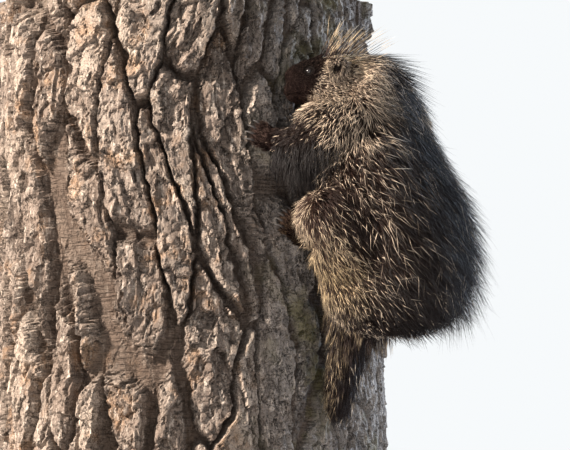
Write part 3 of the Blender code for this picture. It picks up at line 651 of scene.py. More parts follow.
class Foot:
    """A foot flat on the bark: its heel and its toes' direction, by turn round the trunk and height."""

    def __init__(self, turn, heel_z, toe_turn, toe_z, length, width, toes, claw):
        reach = TRUNK_RADIUS + 0.012
        turn, toe_turn = math.radians(turn), math.radians(toe_turn)
        out = Vector((math.sin(turn), -math.cos(turn), 0))
        toe_out = Vector((math.sin(toe_turn), -math.cos(toe_turn), 0))
        self.heel = out * reach + UP * heel_z
        self.ahead = (toe_out * reach + UP * toe_z - self.heel).normalized()
        self.side = self.ahead.cross(out).normalized()
        self.out = self.side.cross(self.ahead)
        self.length, self.width = length, width
        self.toes, self.claw = toes, claw

    def place(self, ahead, side, out):
        """A place given from the heel."""
        return self.heel + self.ahead * ahead + self.side * side + self.out * out

    def rays(self):
        """For each toe, a function from reach and height to a place."""
        for i in range(self.toes):
            spread = (i - (self.toes - 1) / 2) / (self.toes - 1)
            side = 0.75 * self.width * spread
            start = self.length * (0.80 - 0.35 * spread**2)
            forward, across = math.cos(0.35 * spread), math.sin(0.35 * spread)

            def ray(reach, out, forward=forward, across=across, start=start, side=side):
                return self.place(start + reach * forward, side + reach * across, out)

            yield ray

    def flesh(self):
        """The palm and toes, as closed meshes."""
        sizes = (0.55 * self.length, self.width / 2, 0.016)
        axes = (self.ahead, self.side, self.out)
        yield ball("palm", self.place(0.45 * self.length, 0, 0.006), axes, sizes)
        radius = 0.0052 if self.toes == 4 else 0.0058
        for ray in self.rays():
            path = [ray(-0.012, 0.006), ray(0.004, 0.0085), ray(0.014, 0.0070), ray(0.0195, 0.0055)]
            yield tube("toe", path, (radius, 1.05 * radius, 0.9 * radius, 0.45 * radius), 12)

    def claws(self):
        """The claws, as closed meshes."""
        for ray in self.rays():
            path = [
                ray(0.010, 0.0080),
                ray(0.018 + 0.20 * self.claw, 0.0098),
                ray(0.018 + 0.50 * self.claw, 0.0085),
                ray(0.018 + 0.80 * self.claw, 0.0045),
                ray(0.018 + self.claw, -0.0005),
            ]
            yield tube("claw", path, (0.0030, 0.0029, 0.0023, 0.0014, 0.0003), 10)


def feet():
    """The four feet, where the solids have them."""
    return {
        "forepaw_left": Foot(30, 0.652, 19, 0.682, 0.042, 0.034, 4, 0.018),
        "forepaw_right": Foot(80, 0.672, 90, 0.712, 0.042, 0.034, 4, 0.018),
        "hindfoot_left": Foot(42, 0.478, 30, 0.527, 0.074, 0.040, 5, 0.017),
        "hindfoot_right": Foot(66, 0.436, 76, 0.506, 0.074, 0.040, 5, 0.017),
    }


def limb_forms(all_feet):
    """The four legs, each from inside the torso to its foot's wrist or heel."""
    forms = {}
    for side, word in zip(SIDES, ("left", "right")):
        wrist = all_feet["forepaw_" + word].place(0.008, 0, 0.013)
        wrist = Vector((wrist.dot(LEFT), wrist.dot(BACK), wrist.z))
        forms["foreleg_" + word] = limb_form(
            [
                (side * 0.050, 0.440, 0.696),
                (side * 0.092, 0.426, 0.676),
                (side * 0.120, 0.406, 0.662),
                (0.82 * wrist.x + side * 0.020, 0.384, 0.652),
                wrist,
            ],
            (0.050, 0.046, 0.036, 0.0225, 0.0165),
            (0.022, 0.024, 0.024, 0.014, 0.007),
        )
        heel = all_feet["hindfoot_" + word].place(0.014, 0, 0.012)
        heel = Vector((heel.dot(LEFT), heel.dot(BACK), heel.z))
        forms["hindleg_" + word] = limb_form(
            [
                (side * 0.036, 0.478, 0.430),
                (side * 0.088, 0.472, 0.478),
                (side * 0.132, 0.446, 0.528),
                (0.40 * heel.x + side * 0.072, 0.404, 0.30 * heel.z + 0.361),
                heel,
            ],
            (0.062, 0.056, 0.040, 0.027, 0.0180),
            (0.026, 0.032, 0.024, 0.014, 0.008),
        )
    return forms


def ball(name, centre, axes, sizes, columns=24, rows=14):
    """An ellipsoid with its half sizes along three axes."""
    rings = []
    for r in range(1, rows):
        polar = np.pi * r / rows
        turns = np.arange(columns) * 2 * np.pi / columns
        ring = np.column_stack(
            [np.sin(polar) * np.cos(turns), np.sin(polar) * np.sin(turns), np.full(columns, np.cos(polar))]
        )
        rings.append(ring)
    local = np.vstack([*rings, [[0, 0, 1]], [[0, 0, -1]]]) * sizes
    points = np.array(tuple(centre)) + local @ array(axes)
    index = np.arange((rows - 1) * columns).reshape(rows - 1, columns)
    low, high = index[:-1], index[1:]
    turned_low, turned_high = np.roll(low, -1, 1), np.roll(high, -1, 1)
    faces = [np.stack([low, high, turned_high], -1), np.stack([low, turned_high, turned_low], -1)]
    top, bottom = (rows - 1) * columns, (rows - 1) * columns + 1
    faces.append(np.stack([index[0], np.roll(index[0], -1), np.full(columns, top)], -1))
    faces.append(np.stack([np.roll(index[-1], -1), index[-1], np.full(columns, bottom)], -1))
    return quick_mesh(name, points, np.concatenate([f.reshape(-1, 3) for f in faces]))


def tube(name, path, radii, sides):
    """A closed tube through points, each with its own radius."""
    form = []
    across = (path[1] - path[0]).orthogonal()
    for i, point in enumerate(path):
        ahead = (path[min(i + 1, len(path) - 1)] - path[max(i - 1, 0)]).normalized()
        across = (across - ahead * across.dot(ahead)).normalized()
        form.append((point, across, ahead.cross(across), *[radii[i]] * 3, 0, 0, 0))
    return Form(form).loft(name, rows=4 * len(path), columns=sides)


def fuse(name, pieces):
    """Joins overlapping closed meshes into one object of one surface each."""
    work = bmesh.new()
    for piece in pieces:
        work.from_mesh(piece.data)
        bpy.data.objects.remove(piece)
    bmesh.ops.recalc_face_normals(work, faces=work.faces)
    mesh = bpy.data.meshes.new(name)
    work.to_mesh(mesh)
    work.free()
    obj = bpy.data.objects.new(name, mesh)
    bpy.context.scene.collection.objects.link(obj)
    return obj


def applied(obj, kind, **settings):
    """Applies one modifier."""
    modifier = obj.modifiers.new(kind, kind)
    for key, value in settings.items():
        setattr(modifier, key, value)
    graph = bpy.context.evaluated_depsgraph_get()
    made = bpy.data.meshes.new_from_object(obj.evaluated_get(graph))
    obj.modifiers.clear()
    obj.data = made
    return obj


def ear_axes(side):
    """An ear's directions: ahead, out of its cup, and over."""
    out = (HEAD_LEFT * side + LOOK * 0.45 + UP * 0.25).normalized()
    ahead = (LOOK - out * LOOK.dot(out)).normalized()
    return ahead, out, out.cross(ahead)


def eye_axes(side):
    """An eye's directions: out, ahead and over."""
    out = (HEAD_LEFT * side + LOOK * 0.25 + UP * 0.12).normalized()
    ahead = (LOOK - out * LOOK.dot(out)).normalized()
    return out, ahead, out.cross(ahead)


def points_of(mesh):
    """The mesh's points as rows."""
    rows = np.empty(3 * len(mesh.vertices), np.float32)
    mesh.vertices.foreach_get("co", rows)
    return rows.reshape(-1, 3).astype(float)


def normals_of(mesh):
    """The mesh's point normals as rows."""
    rows = np.empty(3 * len(mesh.vertices), np.float32)
    mesh.vertex_normals.foreach_get("vector", rows)
    return rows.reshape(-1, 3).astype(float)


def refine(obj, centres):
    """Finer faces near some places, each given with its reach."""
    work = bmesh.new()
    work.from_mesh(obj.data)
    for centre, reach in centres:
        near = [e for e in work.edges if (e.verts[0].co - centre).length < reach]
        bmesh.ops.subdivide_edges(work, edges=near, cuts=1, use_grid_fill=True, smooth=0.0)
    bmesh.ops.triangulate(work, faces=work.faces)
    work.to_mesh(obj.data)
    work.free()


def shape_face(obj):
    """Eye openings with lids, nostrils, the mouth and the cleft of the upper lip."""
    points = points_of(obj.data)
    for side in SIDES:
        out, ahead, over = array(eye_axes(side))
        away = points - np.array(eye_place(side))
        high, along, up = away @ out, away @ ahead, away @ over
        ring = np.hypot(along / 1.22, up)
        near = (ring < 0.014) & (high > -0.008)
        lid = 0.0013 * bell(ring - 0.0056, 0.0014) + 0.0009 * bell(ring - 0.0090, 0.0014)
        ballward = np.sqrt(np.maximum(EYE_RADIUS**2 - ring**2, 0))
        inside = 1 - smooth(ring, 0.0036, 0.0046)
        target = np.where(ring < 0.0062, np.maximum(high, ballward + 0.0004), high) + lid
        moved = (target * (1 - inside) + (ballward - 0.0030) * inside - high) * near
        points += moved[:, None] * out
        nostril = head_point(0.0915, side * 0.0080, -0.001)
        points -= column(0.0042 * bell(distances(points, nostril), 0.0030)) * np.array(LOOK)
    local = points - np.array(HEAD_PLACE)
    forward, left, up = local @ np.array(LOOK), local @ np.array(HEAD_LEFT), local @ UP
    line = -0.0235 + 0.10 * np.maximum(0, 0.075 - forward)
    mouth = smooth(forward, 0.050, 0.064) * bell(up - line, 0.0016)
    lips = smooth(forward, 0.050, 0.064) * bell(np.abs(up - line) - 0.0042, 0.0024)
    outward = unit(local * [1, 1, 0.3])
    points += (0.0013 * lips - 0.0034 * mouth)[:, None] * outward
    cleft = bell(left, 0.0011) * smooth(forward, 0.080, 0.088) * (up > -0.022) * (up < -0.006)
    points -= (0.0016 * cleft)[:, None] * np.array(LOOK)
    obj.data.vertices.foreach_set("co", points.astype(np.float32).ravel())
    obj.data.update()


def make_skin(forms, all_feet):
    """One skin over head, neck, torso, tail, legs, ears and feet."""
    pieces = [form.loft(name) for name, form in forms.items()]
    for foot in all_feet.values():
        pieces += foot.flesh()
    for side in SIDES:
        centre = ear_place(side)
        ear = ball("ear", centre, ear_axes(side), EAR_SIZE)
        cup_sizes = (EAR_SIZE[0] * 0.74, EAR_SIZE[1] * 0.95, EAR_SIZE[2] * 0.76)
        cup = ball("cup", centre + ear_axes(side)[1] * 0.0064, ear_axes(side), cup_sizes)
        applied(ear, "BOOLEAN", operation="DIFFERENCE", object=cup, solver="EXACT")
        bpy.data.objects.remove(cup)
        pieces.append(ear)
    skin = fuse("skin", pieces)
    applied(skin, "REMESH", mode="VOXEL", voxel_size=SKIN_VOXEL)
    applied(skin, "SMOOTH", factor=0.5, iterations=4)
    eyes = [eye_place(side) for side in SIDES]
    refine(skin, [(eye, 0.016) for eye in eyes] + [(head_point(0.080, 0, -0.008), 0.036)])
    refine(skin, [(eye, 0.012) for eye in eyes])
    shape_face(skin)
    points = clear_of_bark(points_of(skin.data), 0.0006)
    skin.data.vertices.foreach_set("co", points.astype(np.float32).ravel())
    skin.data.polygons.foreach_set("use_smooth", np.ones(len(skin.data.polygons), bool))
    skin.data.update()
    return skin


# Coat.


class Hide:
    """What the coat needs to know at each point of the skin."""

    def __init__(self, skin, forms, all_feet):
        mesh = skin.data
        self.points, self.normals = points_of(mesh), normals_of(mesh)
        self.corners = np.empty(3 * len(mesh.polygons), np.int32)
        mesh.loops.foreach_get("vertex_index", self.corners)
        self.corners = self.corners.reshape(-1, 3)
        edges = np.empty(2 * len(mesh.edges), np.int32)
        mesh.edges.foreach_get("vertices", edges)
        self.edges = edges.reshape(-1, 2)
        a, b, c = (self.points[self.corners[:, i]] for i in range(3))
        self.areas = np.linalg.norm(np.cross(b - a, c - a), axis=1) / 2
        self.u, self.v, self.z = (self.points @ np.array(axis) for axis in (LEFT, BACK, UP))
        local = self.points - np.array(HEAD_PLACE)
        self.forward, self.aside, self.up = (local @ np.array(axis) for axis in (LOOK, HEAD_LEFT, UP))
        self.surface = BVHTree.FromPolygons(self.points.tolist(), self.corners.tolist())
        self.sample_forms(forms)
        self.find_small_parts(len(forms), all_feet)
        self.lay_flow()
        self.lay_length()
        self.lay_colour()
        self.lay_zones()

    def at_height(self, points, heights, share):
        """Points moved by a share of the way to their heights over the skin."""
        moved = points.copy()
        for i, (point, height) in enumerate(zip(points.tolist(), heights.tolist())):
            near, out, _, distance = self.surface.find_nearest(point)
            away = Vector(point) - near
            away = out if away.dot(out) < 0 else away / max(distance, 1e-6)
            moved[i] += share * (np.array(near + away * height) - points[i])
        return moved

    def sample_forms(self, forms):
        """For each point its form, how far along it, the angle round it and the coat's depth there."""
        columns, rows = 48, 64
        turns = np.arange(columns) * 2 * np.pi / columns
        ones, over = np.ones(columns), np.sin(turns)
        samples, facts = [], []
        for number, form in enumerate(forms.values()):
            for place in form.last * np.arange(rows) / (rows - 1):
                row = form.at(place)
                ahead = unit((form.at(min(place + 0.05, form.last)) - form.at(max(place - 0.05, 0)))[0:3])
                samples.append(form.ring(place, columns, SKIN_SHARE))
                coat = row[12] * (1 - np.abs(over)) + np.where(over > 0, row[13], row[14]) * np.abs(over)
                numbers = [number * ones, place / form.last * ones, turns, coat * (1 - SKIN_SHARE)]
                facts.append(np.column_stack([*numbers, column(ones) * ahead]))
        samples, facts = np.vstack(samples), np.vstack(facts)
        tree = KDTree(len(samples))
        for i, point in enumerate(samples):
            tree.insert(point, i)
        tree.balance()
        facts = facts[np.array([tree.find(point)[1] for point in self.points])]
        self.owner = facts[:, 0].astype(int)
        self.place, self.angle, self.depth, self.ahead = facts[:, 1], facts[:, 2], facts[:, 3], facts[:, 4:7]
        self.names = list(forms)

    def find_small_parts(self, first, all_feet):
        """The same for the ears and feet, which aren't forms."""
        self.names += ["ear", *all_feet]
        for side in SIDES:
            local = (self.points - np.array(ear_place(side))) @ array(ear_axes(side)).T
            on_ear = np.linalg.norm(local / (np.array(EAR_SIZE) + 0.0015), axis=1) < 1.0
            self.owner[on_ear] = first
            self.ahead[on_ear] = np.array(ear_axes(side)[2])
            self.depth[on_ear] = 0.004
        for number, foot in enumerate(all_feet.values()):
            local = self.points - np.array(foot.heel)
            ahead, side, out = (local @ np.array(v) for v in (foot.ahead, foot.side, foot.out))
            on_foot = (ahead > 0.25 * foot.length) & (ahead < 0.13)
            on_foot &= (np.abs(side) < 0.9 * foot.width) & (out < 0.026)
            self.owner[on_foot] = first + 1 + number
            self.place[on_foot] = np.clip(ahead[on_foot] / 0.12, 0, 1)
            self.angle[on_foot] = np.arctan2(out[on_foot], side[on_foot]) % (2 * np.pi)
            self.ahead[on_foot] = np.array(foot.ahead)
            self.depth[on_foot] = 0.004

    def on(self, *words):
        """1 at each point on a form whose name starts with one of the words, and 0 elsewhere."""
        chosen = [i for i, name in enumerate(self.names) if name.startswith(words)]
        return np.isin(self.owner, chosen).astype(float)

    def blur(self, values, rounds):
        """Values evened out over neighbouring points."""
        flat = np.array(values, float).reshape(len(self.points), -1)
        starts, ends = self.edges[:, 0], self.edges[:, 1]
        count = np.maximum(np.bincount(self.edges.ravel(), minlength=len(flat)), 1)
        size = len(flat)
        for _ in range(rounds):
            for i in range(flat.shape[1]):
                value = flat[:, i]
                total = np.bincount(starts, value[ends], size) + np.bincount(ends, value[starts], size)
                flat[:, i] = 0.4 * value + 0.6 * total / count
        return flat.reshape(np.shape(values))

    def lay_flow(self):
        """The coat's lie at each point."""
        down, back, look = -np.array(UP), np.array(BACK), np.array(LOOK)
        flow = down + column(np.clip((self.v - 0.425) / 0.085, -0.5, 1.1)) * back
        away = self.points - np.array(head_point(0.020, 0, -0.004))
        near = column(bell(np.linalg.norm(away, axis=1), 0.14))
        flow = flow * (1 - near) + 1.6 * unit(away) * near
        for side in SIDES:
            away = self.points - np.array(knee_place(side))
            near = column(bell(np.linalg.norm(away, axis=1), 0.055))
            flow = flow * (1 - near) + (0.9 * unit(away) + 0.3 * down) * near
        flow = np.where(column(self.on("foreleg")) > 0, 0.65 * self.ahead + 0.85 * down, flow)
        tailward = down + column(0.40 * np.cos(self.angle)) * np.array(LEFT)
        flow = np.where(column(self.on("tail")) > 0, tailward, flow)
        cheek = smooth(-self.up, -0.020, 0.020)
        faceward = -look + column(0.55 * cheek) * down
        flow = np.where(column(self.on("head")) > 0, faceward, flow)
        flow = np.where(column(self.on("forepaw", "hindfoot", "ear")) > 0, self.ahead, flow)
        flow = flow - self.normals * dot(flow, self.normals)
        self.lie = self.blur(unit(flow), 30)
        self.lie = unit(self.lie - self.normals * dot(self.lie, self.normals))

    def lay_length(self):
        """The coat's length and depth at each point, and the stretches that they turn on."""
        head, neck, torso = self.on("head"), self.on("neck"), self.on("torso")
        arms, legs, tail = self.on("foreleg"), self.on("hindleg"), self.on("tail")
        self.dorsal = np.clip(np.sin(self.angle), 0, 1)
        lower = 0.014 * smooth(-self.up, -0.012, 0.004) + 0.012 * smooth(-self.up, 0.010, 0.030)
        ragged = 0.007 * cloud(self.points, 0.011, 61)
        self.muzzle = smooth(self.forward - lower + ragged, 0.030, 0.046)
        crown = head * smooth(self.up, 0.006, 0.028) * (1 - smooth(self.forward, 0.020, 0.040))
        upper = smooth(self.z, 0.52, 0.68)
        rump = 1 - 0.60 * (1 - smooth(self.z, 0.325, 0.430))
        length = torso * (0.072 - 0.028 * upper * (1 - self.dorsal) + 0.030 * self.dorsal) * rump
        length += neck * (0.032 + 0.046 * self.dorsal)
        length += head * (0.017 * (1 - self.muzzle) + 0.005 * self.muzzle + 0.022 * crown)
        length += arms * (0.046 - 0.026 * self.place)
        length += legs * (0.060 - 0.034 * smooth(self.place, 0.45, 0.95))
        length += tail * (0.058 - 0.010 * self.place)
        length += self.on("forepaw", "hindfoot") * 0.011 + self.on("ear") * 0.014
        self.length = self.blur(length, 24)
        self.nape = self.blur(self.dorsal * smooth(self.z, 0.56, 0.70) * (neck + torso + head), 30)
        self.depth = self.blur(self.depth, 50) * (1 - 0.45 * self.nape)
        self.face = self.blur(head * self.muzzle, 4)
        self.crown = self.blur(crown, 6)
        self.bare = self.blur(self.sole() + self.openings(), 1)

    def lay_colour(self):
        """How pale, warm and golden the coat is at each point."""
        head, neck, torso = self.on("head"), self.on("neck"), self.on("torso")
        arms, legs, tail = self.on("foreleg"), self.on("hindleg"), self.on("tail")
        snout_and_feet = self.on("forepaw", "hindfoot") + head * self.muzzle
        lift = np.clip((self.z - 0.36) / 0.30, 0, 1)
        flank = self.blur((torso + neck + legs) * (1 - smooth(self.dorsal, 0.35, 0.85)), 12)
        hip = bell(self.z - 0.430, 0.075) * smooth(np.abs(self.u), 0.060, 0.110)
        hip *= 1 - smooth(self.v, 0.475, 0.535)
        cheeks = self.blur(head * (1 - self.muzzle) + neck * (1 - self.dorsal), 8)
        knee = sum(bell(distances(self.points, knee_place(side)), 0.05) for side in SIDES)
        self.pale = 0.05 + 0.22 * flank + 0.20 * flank * lift + 0.50 * hip + 0.80 * cheeks + 0.3 * knee
        self.pale = np.clip(self.pale + 0.35 * self.blur(arms, 10), 0, 1)
        self.pale *= 1 - 0.90 * self.blur(arms * smooth(self.place, 0.46, 0.64), 6)
        self.fore = self.blur(neck + head + arms * (1 - smooth(self.place, 0.42, 0.60)), 16)
        self.pale *= 1 - 0.90 * self.blur(snout_and_feet, 4)
        self.pale *= 1 - 0.80 * self.blur(tail * smooth(self.dorsal, 0.2, 0.7), 4)
        warm = 0.30 + 0.45 * flank * lift + 0.6 * knee + 0.25 * hip + 0.35 * cheeks
        ring = sum(bell(distances(self.points, eye_place(side)), 0.020) for side in SIDES)
        warm = self.blur(warm + 0.55 * snout_and_feet, 6) * (1 - ring)
        self.warm = np.clip(warm * (1 - 0.7 * head * self.muzzle * smooth(self.up, 0.010, 0.030)), 0, 1)
        hollow = sum(bell(distances(self.points, ear_place(side)), 0.015) for side in SIDES)
        self.hollow = np.clip(hollow, 0, 1)
        self.pale *= 1 - 0.75 * self.hollow
        golden = hip + 0.6 * self.blur(tail * (1 - self.dorsal), 4) + 0.8 * self.crown
        self.golden = np.clip(golden, 0, 1)

    def lay_zones(self):
        """Where the coat's layers grow."""
        self.body = self.on("torso", "neck", "foreleg", "hindleg", "tail", "head")
        self.small = self.on("forepaw", "hindfoot")
        self.ridge_line = self.blur(self.dorsal * self.on("torso", "neck"), 10)
        self.long_fur = self.body * (1 - smooth(self.face, 0.2, 0.6)) * (1 - 0.8 * self.hollow)

    def sole(self):
        """1 under the feet, where no coat grows."""
        return self.on("forepaw", "hindfoot") * (self.bark_gap() < 0.006)

    def bark_gap(self):
        """How far each point is out from the solids' bark."""
        angle = np.arctan2(self.points[:, 0], -self.points[:, 1])
        z = np.clip(self.points[:, 2], TRUNK_LOW, TRUNK_HIGH)
        return np.hypot(self.points[:, 0], self.points[:, 1]) - bark_radius(ridge_at(angle, z), z)

    def openings(self):
        """1 at the eyes, the nose and in the ears, where no coat grows."""
        bare = np.zeros(len(self.points))
        for side in SIDES:
            bare += distances(self.points, eye_place(side)) < 0.0095
            cup = np.array(ear_place(side)) + 0.004 * np.array(ear_axes(side)[1])
            bare += distances(self.points, cup) < 0.009
        on_nose = (self.forward > 0.0875) & (np.abs(self.up + 0.001) < 0.0055)
        bare += on_nose & (np.abs(self.aside) < 0.012)
        return np.clip(bare, 0, 1)

    def unwrap(self):
        """A flat place for each point, by its form and its place on that form."""
        across = 4
        column, row = self.owner % across, self.owner // across
        u = (column + 0.04 + 0.92 * self.angle / (2 * np.pi)) / across
        v = (row + 0.04 + 0.92 * self.place) / across
        return np.column_stack([u, v])

    def sow(self, count, weight):
        """Roots spread over the skin by a weight at each point: corner indices and their shares."""
        chance = self.areas * weight[self.corners].mean(1)
        faces = DICE.choice(len(chance), count, p=chance / chance.sum())
        first, second = DICE.random(count), DICE.random(count)
        over = first + second > 1
        first[over], second[over] = 1 - first[over], 1 - second[over]
        return self.corners[faces], np.column_stack([1 - first - second, first, second])


class Layer:
    """Strands of one kind, rooted in the skin and built into closed tapered hairs."""

    def __init__(self, hide, name, weight):
        self.hide, self.name, self.count = hide, name, STRANDS[name]
        self.corners, self.shares = hide.sow(self.count, weight * (1 - hide.bare))
        self.root, self.out = self.take(hide.points), unit(self.take(hide.normals))
        self.lie = self.take(hide.lie)
        self.lie = unit(self.lie - self.out * dot(self.lie, self.out))
        self.length, self.depth = self.take(hide.length), self.take(hide.depth)
        self.pale, self.warm = self.take(hide.pale), self.take(hide.warm)
        self.golden = self.take(hide.golden)
        self.flat = hide.unwrap()[self.corners[:, 0]]

    def take(self, values):
        """Values of the skin at the roots."""
        found = values[self.corners]
        shares = self.shares if found.ndim == 2 else self.shares[:, :, None]
        return (found * shares).sum(1)

    def grow(
        self, length, rise, width, rings=3,
        start=0.5, yaw=0.35, clump=0.3, droop=0.0, curl=0.08, arch=0.6, hug=0.0
    ):
        """Paths of the strands.

        start is how straight along the lie they set off, arch how they bend over, and hug how closely they
        keep to their height over the skin.
        """
        n = self.count
        across = np.cross(self.out, self.lie)
        turn = yaw * (0.55 * DICE.standard_normal(n) + 0.8 * cloud(self.root, 0.022, 31))[:, None]
        way = self.lie * np.cos(turn) + across * np.sin(turn)
        rise = np.minimum(rise, 0.93 * length)
        run = np.sqrt(length**2 - rise**2)[:, None]
        bend = (curl * DICE.standard_normal(n) * length)[:, None]
        times = np.linspace(0, 1, rings + 1)
        path = np.empty((rings + 1, n, 3))
        for i, t in enumerate(times):
            path[i] = self.root + way * run * (start * t + (1 - start) * t * t)
            path[i] += self.out * rise[:, None] * ((1 + arch) * t - arch * t * t) + across * bend * t * t
            path[i] -= np.array(UP) * (droop * length)[:, None] * t * t
        if clump:
            path = self.clumped(path, times, clump)
        if hug:
            for i in range(1, rings + 1):
                t = times[i]
                path[i] = self.hide.at_height(path[i], rise * ((1 + arch) * t - arch * t * t), hug)
        path[0] -= self.out * ROOT_SINK
        for i in range(1, rings + 1):
            path[i] = clear_of_bark(path[i], 0.0015)
        self.path, self.times, self.width = path, times, width

    def clumped(self, path, times, share):
        """The paths drawn together towards their ends, in small locks."""
        leaders = DICE.choice(self.count, max(2, self.count // 9), replace=False)
        tree = KDTree(len(leaders))
        for i in leaders:
            tree.insert(self.root[i], int(i))
        tree.balance()
        leader = np.array([tree.find(root)[1] for root in self.root])
        pull = share * DICE.random(self.count)[:, None] * 2
        for i, t in enumerate(times):
            path[i] = path[i] + np.minimum(pull, 0.9) * t**1.5 * (path[i][leader] - path[i]) * 0.9
        return path

    def shape(self, profile):
        """The points of each strand, three to a ring and one at the tip."""
        rings, n = len(self.times) - 1, self.count
        path, width = self.path, self.width[:, None]
        points = np.empty((n, 3 * rings + 1, 3))
        twist = DICE.uniform(-0.9, 0.9, n)[:, None]
        for i in range(rings):
            ahead = unit(path[min(i + 1, rings)] - path[max(i - 1, 0)])
            side = unit(np.cross(ahead, self.out))
            over = np.cross(side, ahead)
            turned = side * np.cos(twist) + over * np.sin(twist)
            side, over = turned, over * np.cos(twist) - side * np.sin(twist)
            half = width * np.interp(self.times[i], np.linspace(0, 0.8, len(profile)), profile) / 2
            points[:, 3 * i] = path[i] - side * half
            points[:, 3 * i + 1] = path[i] + over * half * 2 * STRAND_THICKNESS
            points[:, 3 * i + 2] = path[i] + side * half
        points[:, -1] = path[rings]
        return points

    @staticmethod
    def strand_faces(rings):
        """The triangles of one closed strand."""
        faces = [(0, 1, 2)]
        for i in range(rings - 1):
            for c in range(3):
                a, b = 3 * i + c, 3 * i + (c + 1) % 3
                faces += [(a, a + 3, b + 3), (a, b + 3, b)]
        last = 3 * (rings - 1)
        faces += [(last + c, 3 * rings, last + (c + 1) % 3) for c in range(3)]
        return np.array(faces)

    def build(self, material, profile=(0.75, 1.0, 0.72), shift=0.0):
        """Joined meshes of the strands, in pieces of limited size. A shift brings tip colours down."""
        rings, n = len(self.times) - 1, self.count
        points, faces = self.shape(profile), self.strand_faces(rings)
        along = np.append(np.repeat(self.times[:-1], 3), 1.0)
        sideways = np.append(np.tile([-0.5, 0.0, 0.5], rings), 0.0)
        tone = DICE.random(n)
        pieces = -(-n * len(faces) // PIECE_TRIANGLES)
        for number, part in enumerate(np.array_split(np.argsort(self.root[:, 2]), pieces)):
            triangles = faces + (np.arange(len(part)) * points.shape[1])[:, None, None]
            label = self.name if pieces == 1 else f"{self.name}_{number + 1}"
            obj = quick_mesh(label, points[part].reshape(-1, 3), triangles.reshape(-1, 3))
            per_point = points.shape[1]
            add_number(obj, "along", along[None] + column(np.broadcast_to(shift, n)[part]) * along[None])
            numbers = {"pale": self.pale, "warm": self.warm, "golden": self.golden, "tone": tone}
            for word, values in numbers.items():
                add_number(obj, word, np.repeat(values[part], per_point))
            place = self.flat[part][:, None, :] + TUFT_PATCH * np.column_stack([sideways, along])[None]
            uv = obj.data.uv_layers.new(name="OFBake")
            uv.data.foreach_set("uv", place.reshape(-1, 2)[triangles.ravel()].astype(np.float32).ravel())
            dress(obj, material)


# Colours of each kind of hair: root, shaft, pale tip and golden tip.
FUR_COLOURS = {
    "wool": ((0.007, 0.005, 0.004), (0.040, 0.018, 0.012), (0.09, 0.055, 0.035), (0.12, 0.075, 0.04)),
    "hair": ((0.007, 0.005, 0.005), (0.034, 0.016, 0.011), (0.22, 0.135, 0.09), (0.38, 0.26, 0.14)),
    "pale_hair": ((0.010, 0.006, 0.005), (0.055, 0.024, 0.015), (1.0, 0.79, 0.58), (1.0, 0.74, 0.42)),
    "dark_hair": ((0.007, 0.006, 0.007), (0.024, 0.015, 0.012), (0.24, 0.22, 0.20), (0.5, 0.38, 0.2)),
    "short_hair": ((0.004, 0.003, 0.003), (0.017, 0.009, 0.008), (0.13, 0.085, 0.068), (0.3, 0.2, 0.1)),
}


def fur_material(name, reach=(0.42, 0.72), roughness=0.5):
    """Hair that is dark at the root, partly its own colour and partly painted shade deep in the coat, and,
    where it is pale, light towards the tip.
    """
    root, shaft, tip, golden = FUR_COLOURS[name]
    m = Material(name)
    along, pale, warm, tone = (m.attribute(word) for word in ("along", "pale", "warm", "tone"))
    base = m.mix(warm, root, shaft)
    # Painted shade deep in the coat: each strand darkens towards its root, on top of the hair's own darker
    # base.
    base = m.mix(m.ramp(along, (0.0, 0.55), (0.5, 0.0)), base, (0.012, 0.008, 0.006))
    light = m.mix(m.attribute("golden"), tip, golden)
    light = m.mix(m.math("MULTIPLY", tone, 0.20), light, shaft)
    uneven = m.math("ADD", along, m.math("MULTIPLY_ADD", tone, 0.16, -0.08))
    far = m.ramp(uneven, (reach[0], 0.0), (reach[1], 1.0))
    streak = m.noise(900, 2, 0.5)
    colour = m.mix(m.math("MULTIPLY", far, pale), base, light)
    colour = m.mix(m.ramp(streak, (0.35, 0.22), (0.65, 0.0)), colour, (0.02, 0.014, 0.01))
    m.set(Base_Color=colour, Roughness=roughness, Specular_IOR_Level=0.50 - 0.6 * roughness)
    return m.bump(streak, 0.2, 0.0003)


def lay_underfur(hide, wool):
    """Dense short wool that hides the skin."""
    under = Layer(hide, "underfur", hide.long_fur * (1 - 0.4 * hide.nape))
    flat = (1 - 0.45 * under.take(hide.ridge_line)) * (1 - 0.6 * under.take(hide.nape))
    size = 0.60 * under.length * DICE.uniform(0.8, 1.15, under.count)
    under.pale *= 0.2
    thick = 0.0018 * np.ones(under.count)
    under.grow(size, 0.48 * under.depth * flat, thick, rings=2, clump=0.2, yaw=0.45, hug=0.8)
    under.build(wool, profile=(0.9, 1.0))


def lay_guard_hair(hide, hair):
    """Dark hairs over the wool."""
    weight = hide.long_fur * (1 + 0.3 * hide.fore) * (1 - 0.4 * hide.nape)
    guard = Layer(hide, "guard_hair", weight)
    flat = (1 - 0.45 * guard.take(hide.ridge_line)) * (1 - 0.5 * guard.take(hide.nape))
    size = guard.length * DICE.uniform(0.70, 1.08, guard.count)
    rise = guard.depth * DICE.uniform(0.42, 0.90, guard.count) * flat + 0.03 * size
    guard.pale *= 0.8 * DICE.random(guard.count)
    thick = 0.0009 * DICE.uniform(0.7, 1.2, guard.count)
    guard.grow(size, rise, thick, yaw=0.55, clump=0.15, droop=0.03, hug=0.65)
    guard.build(hair)


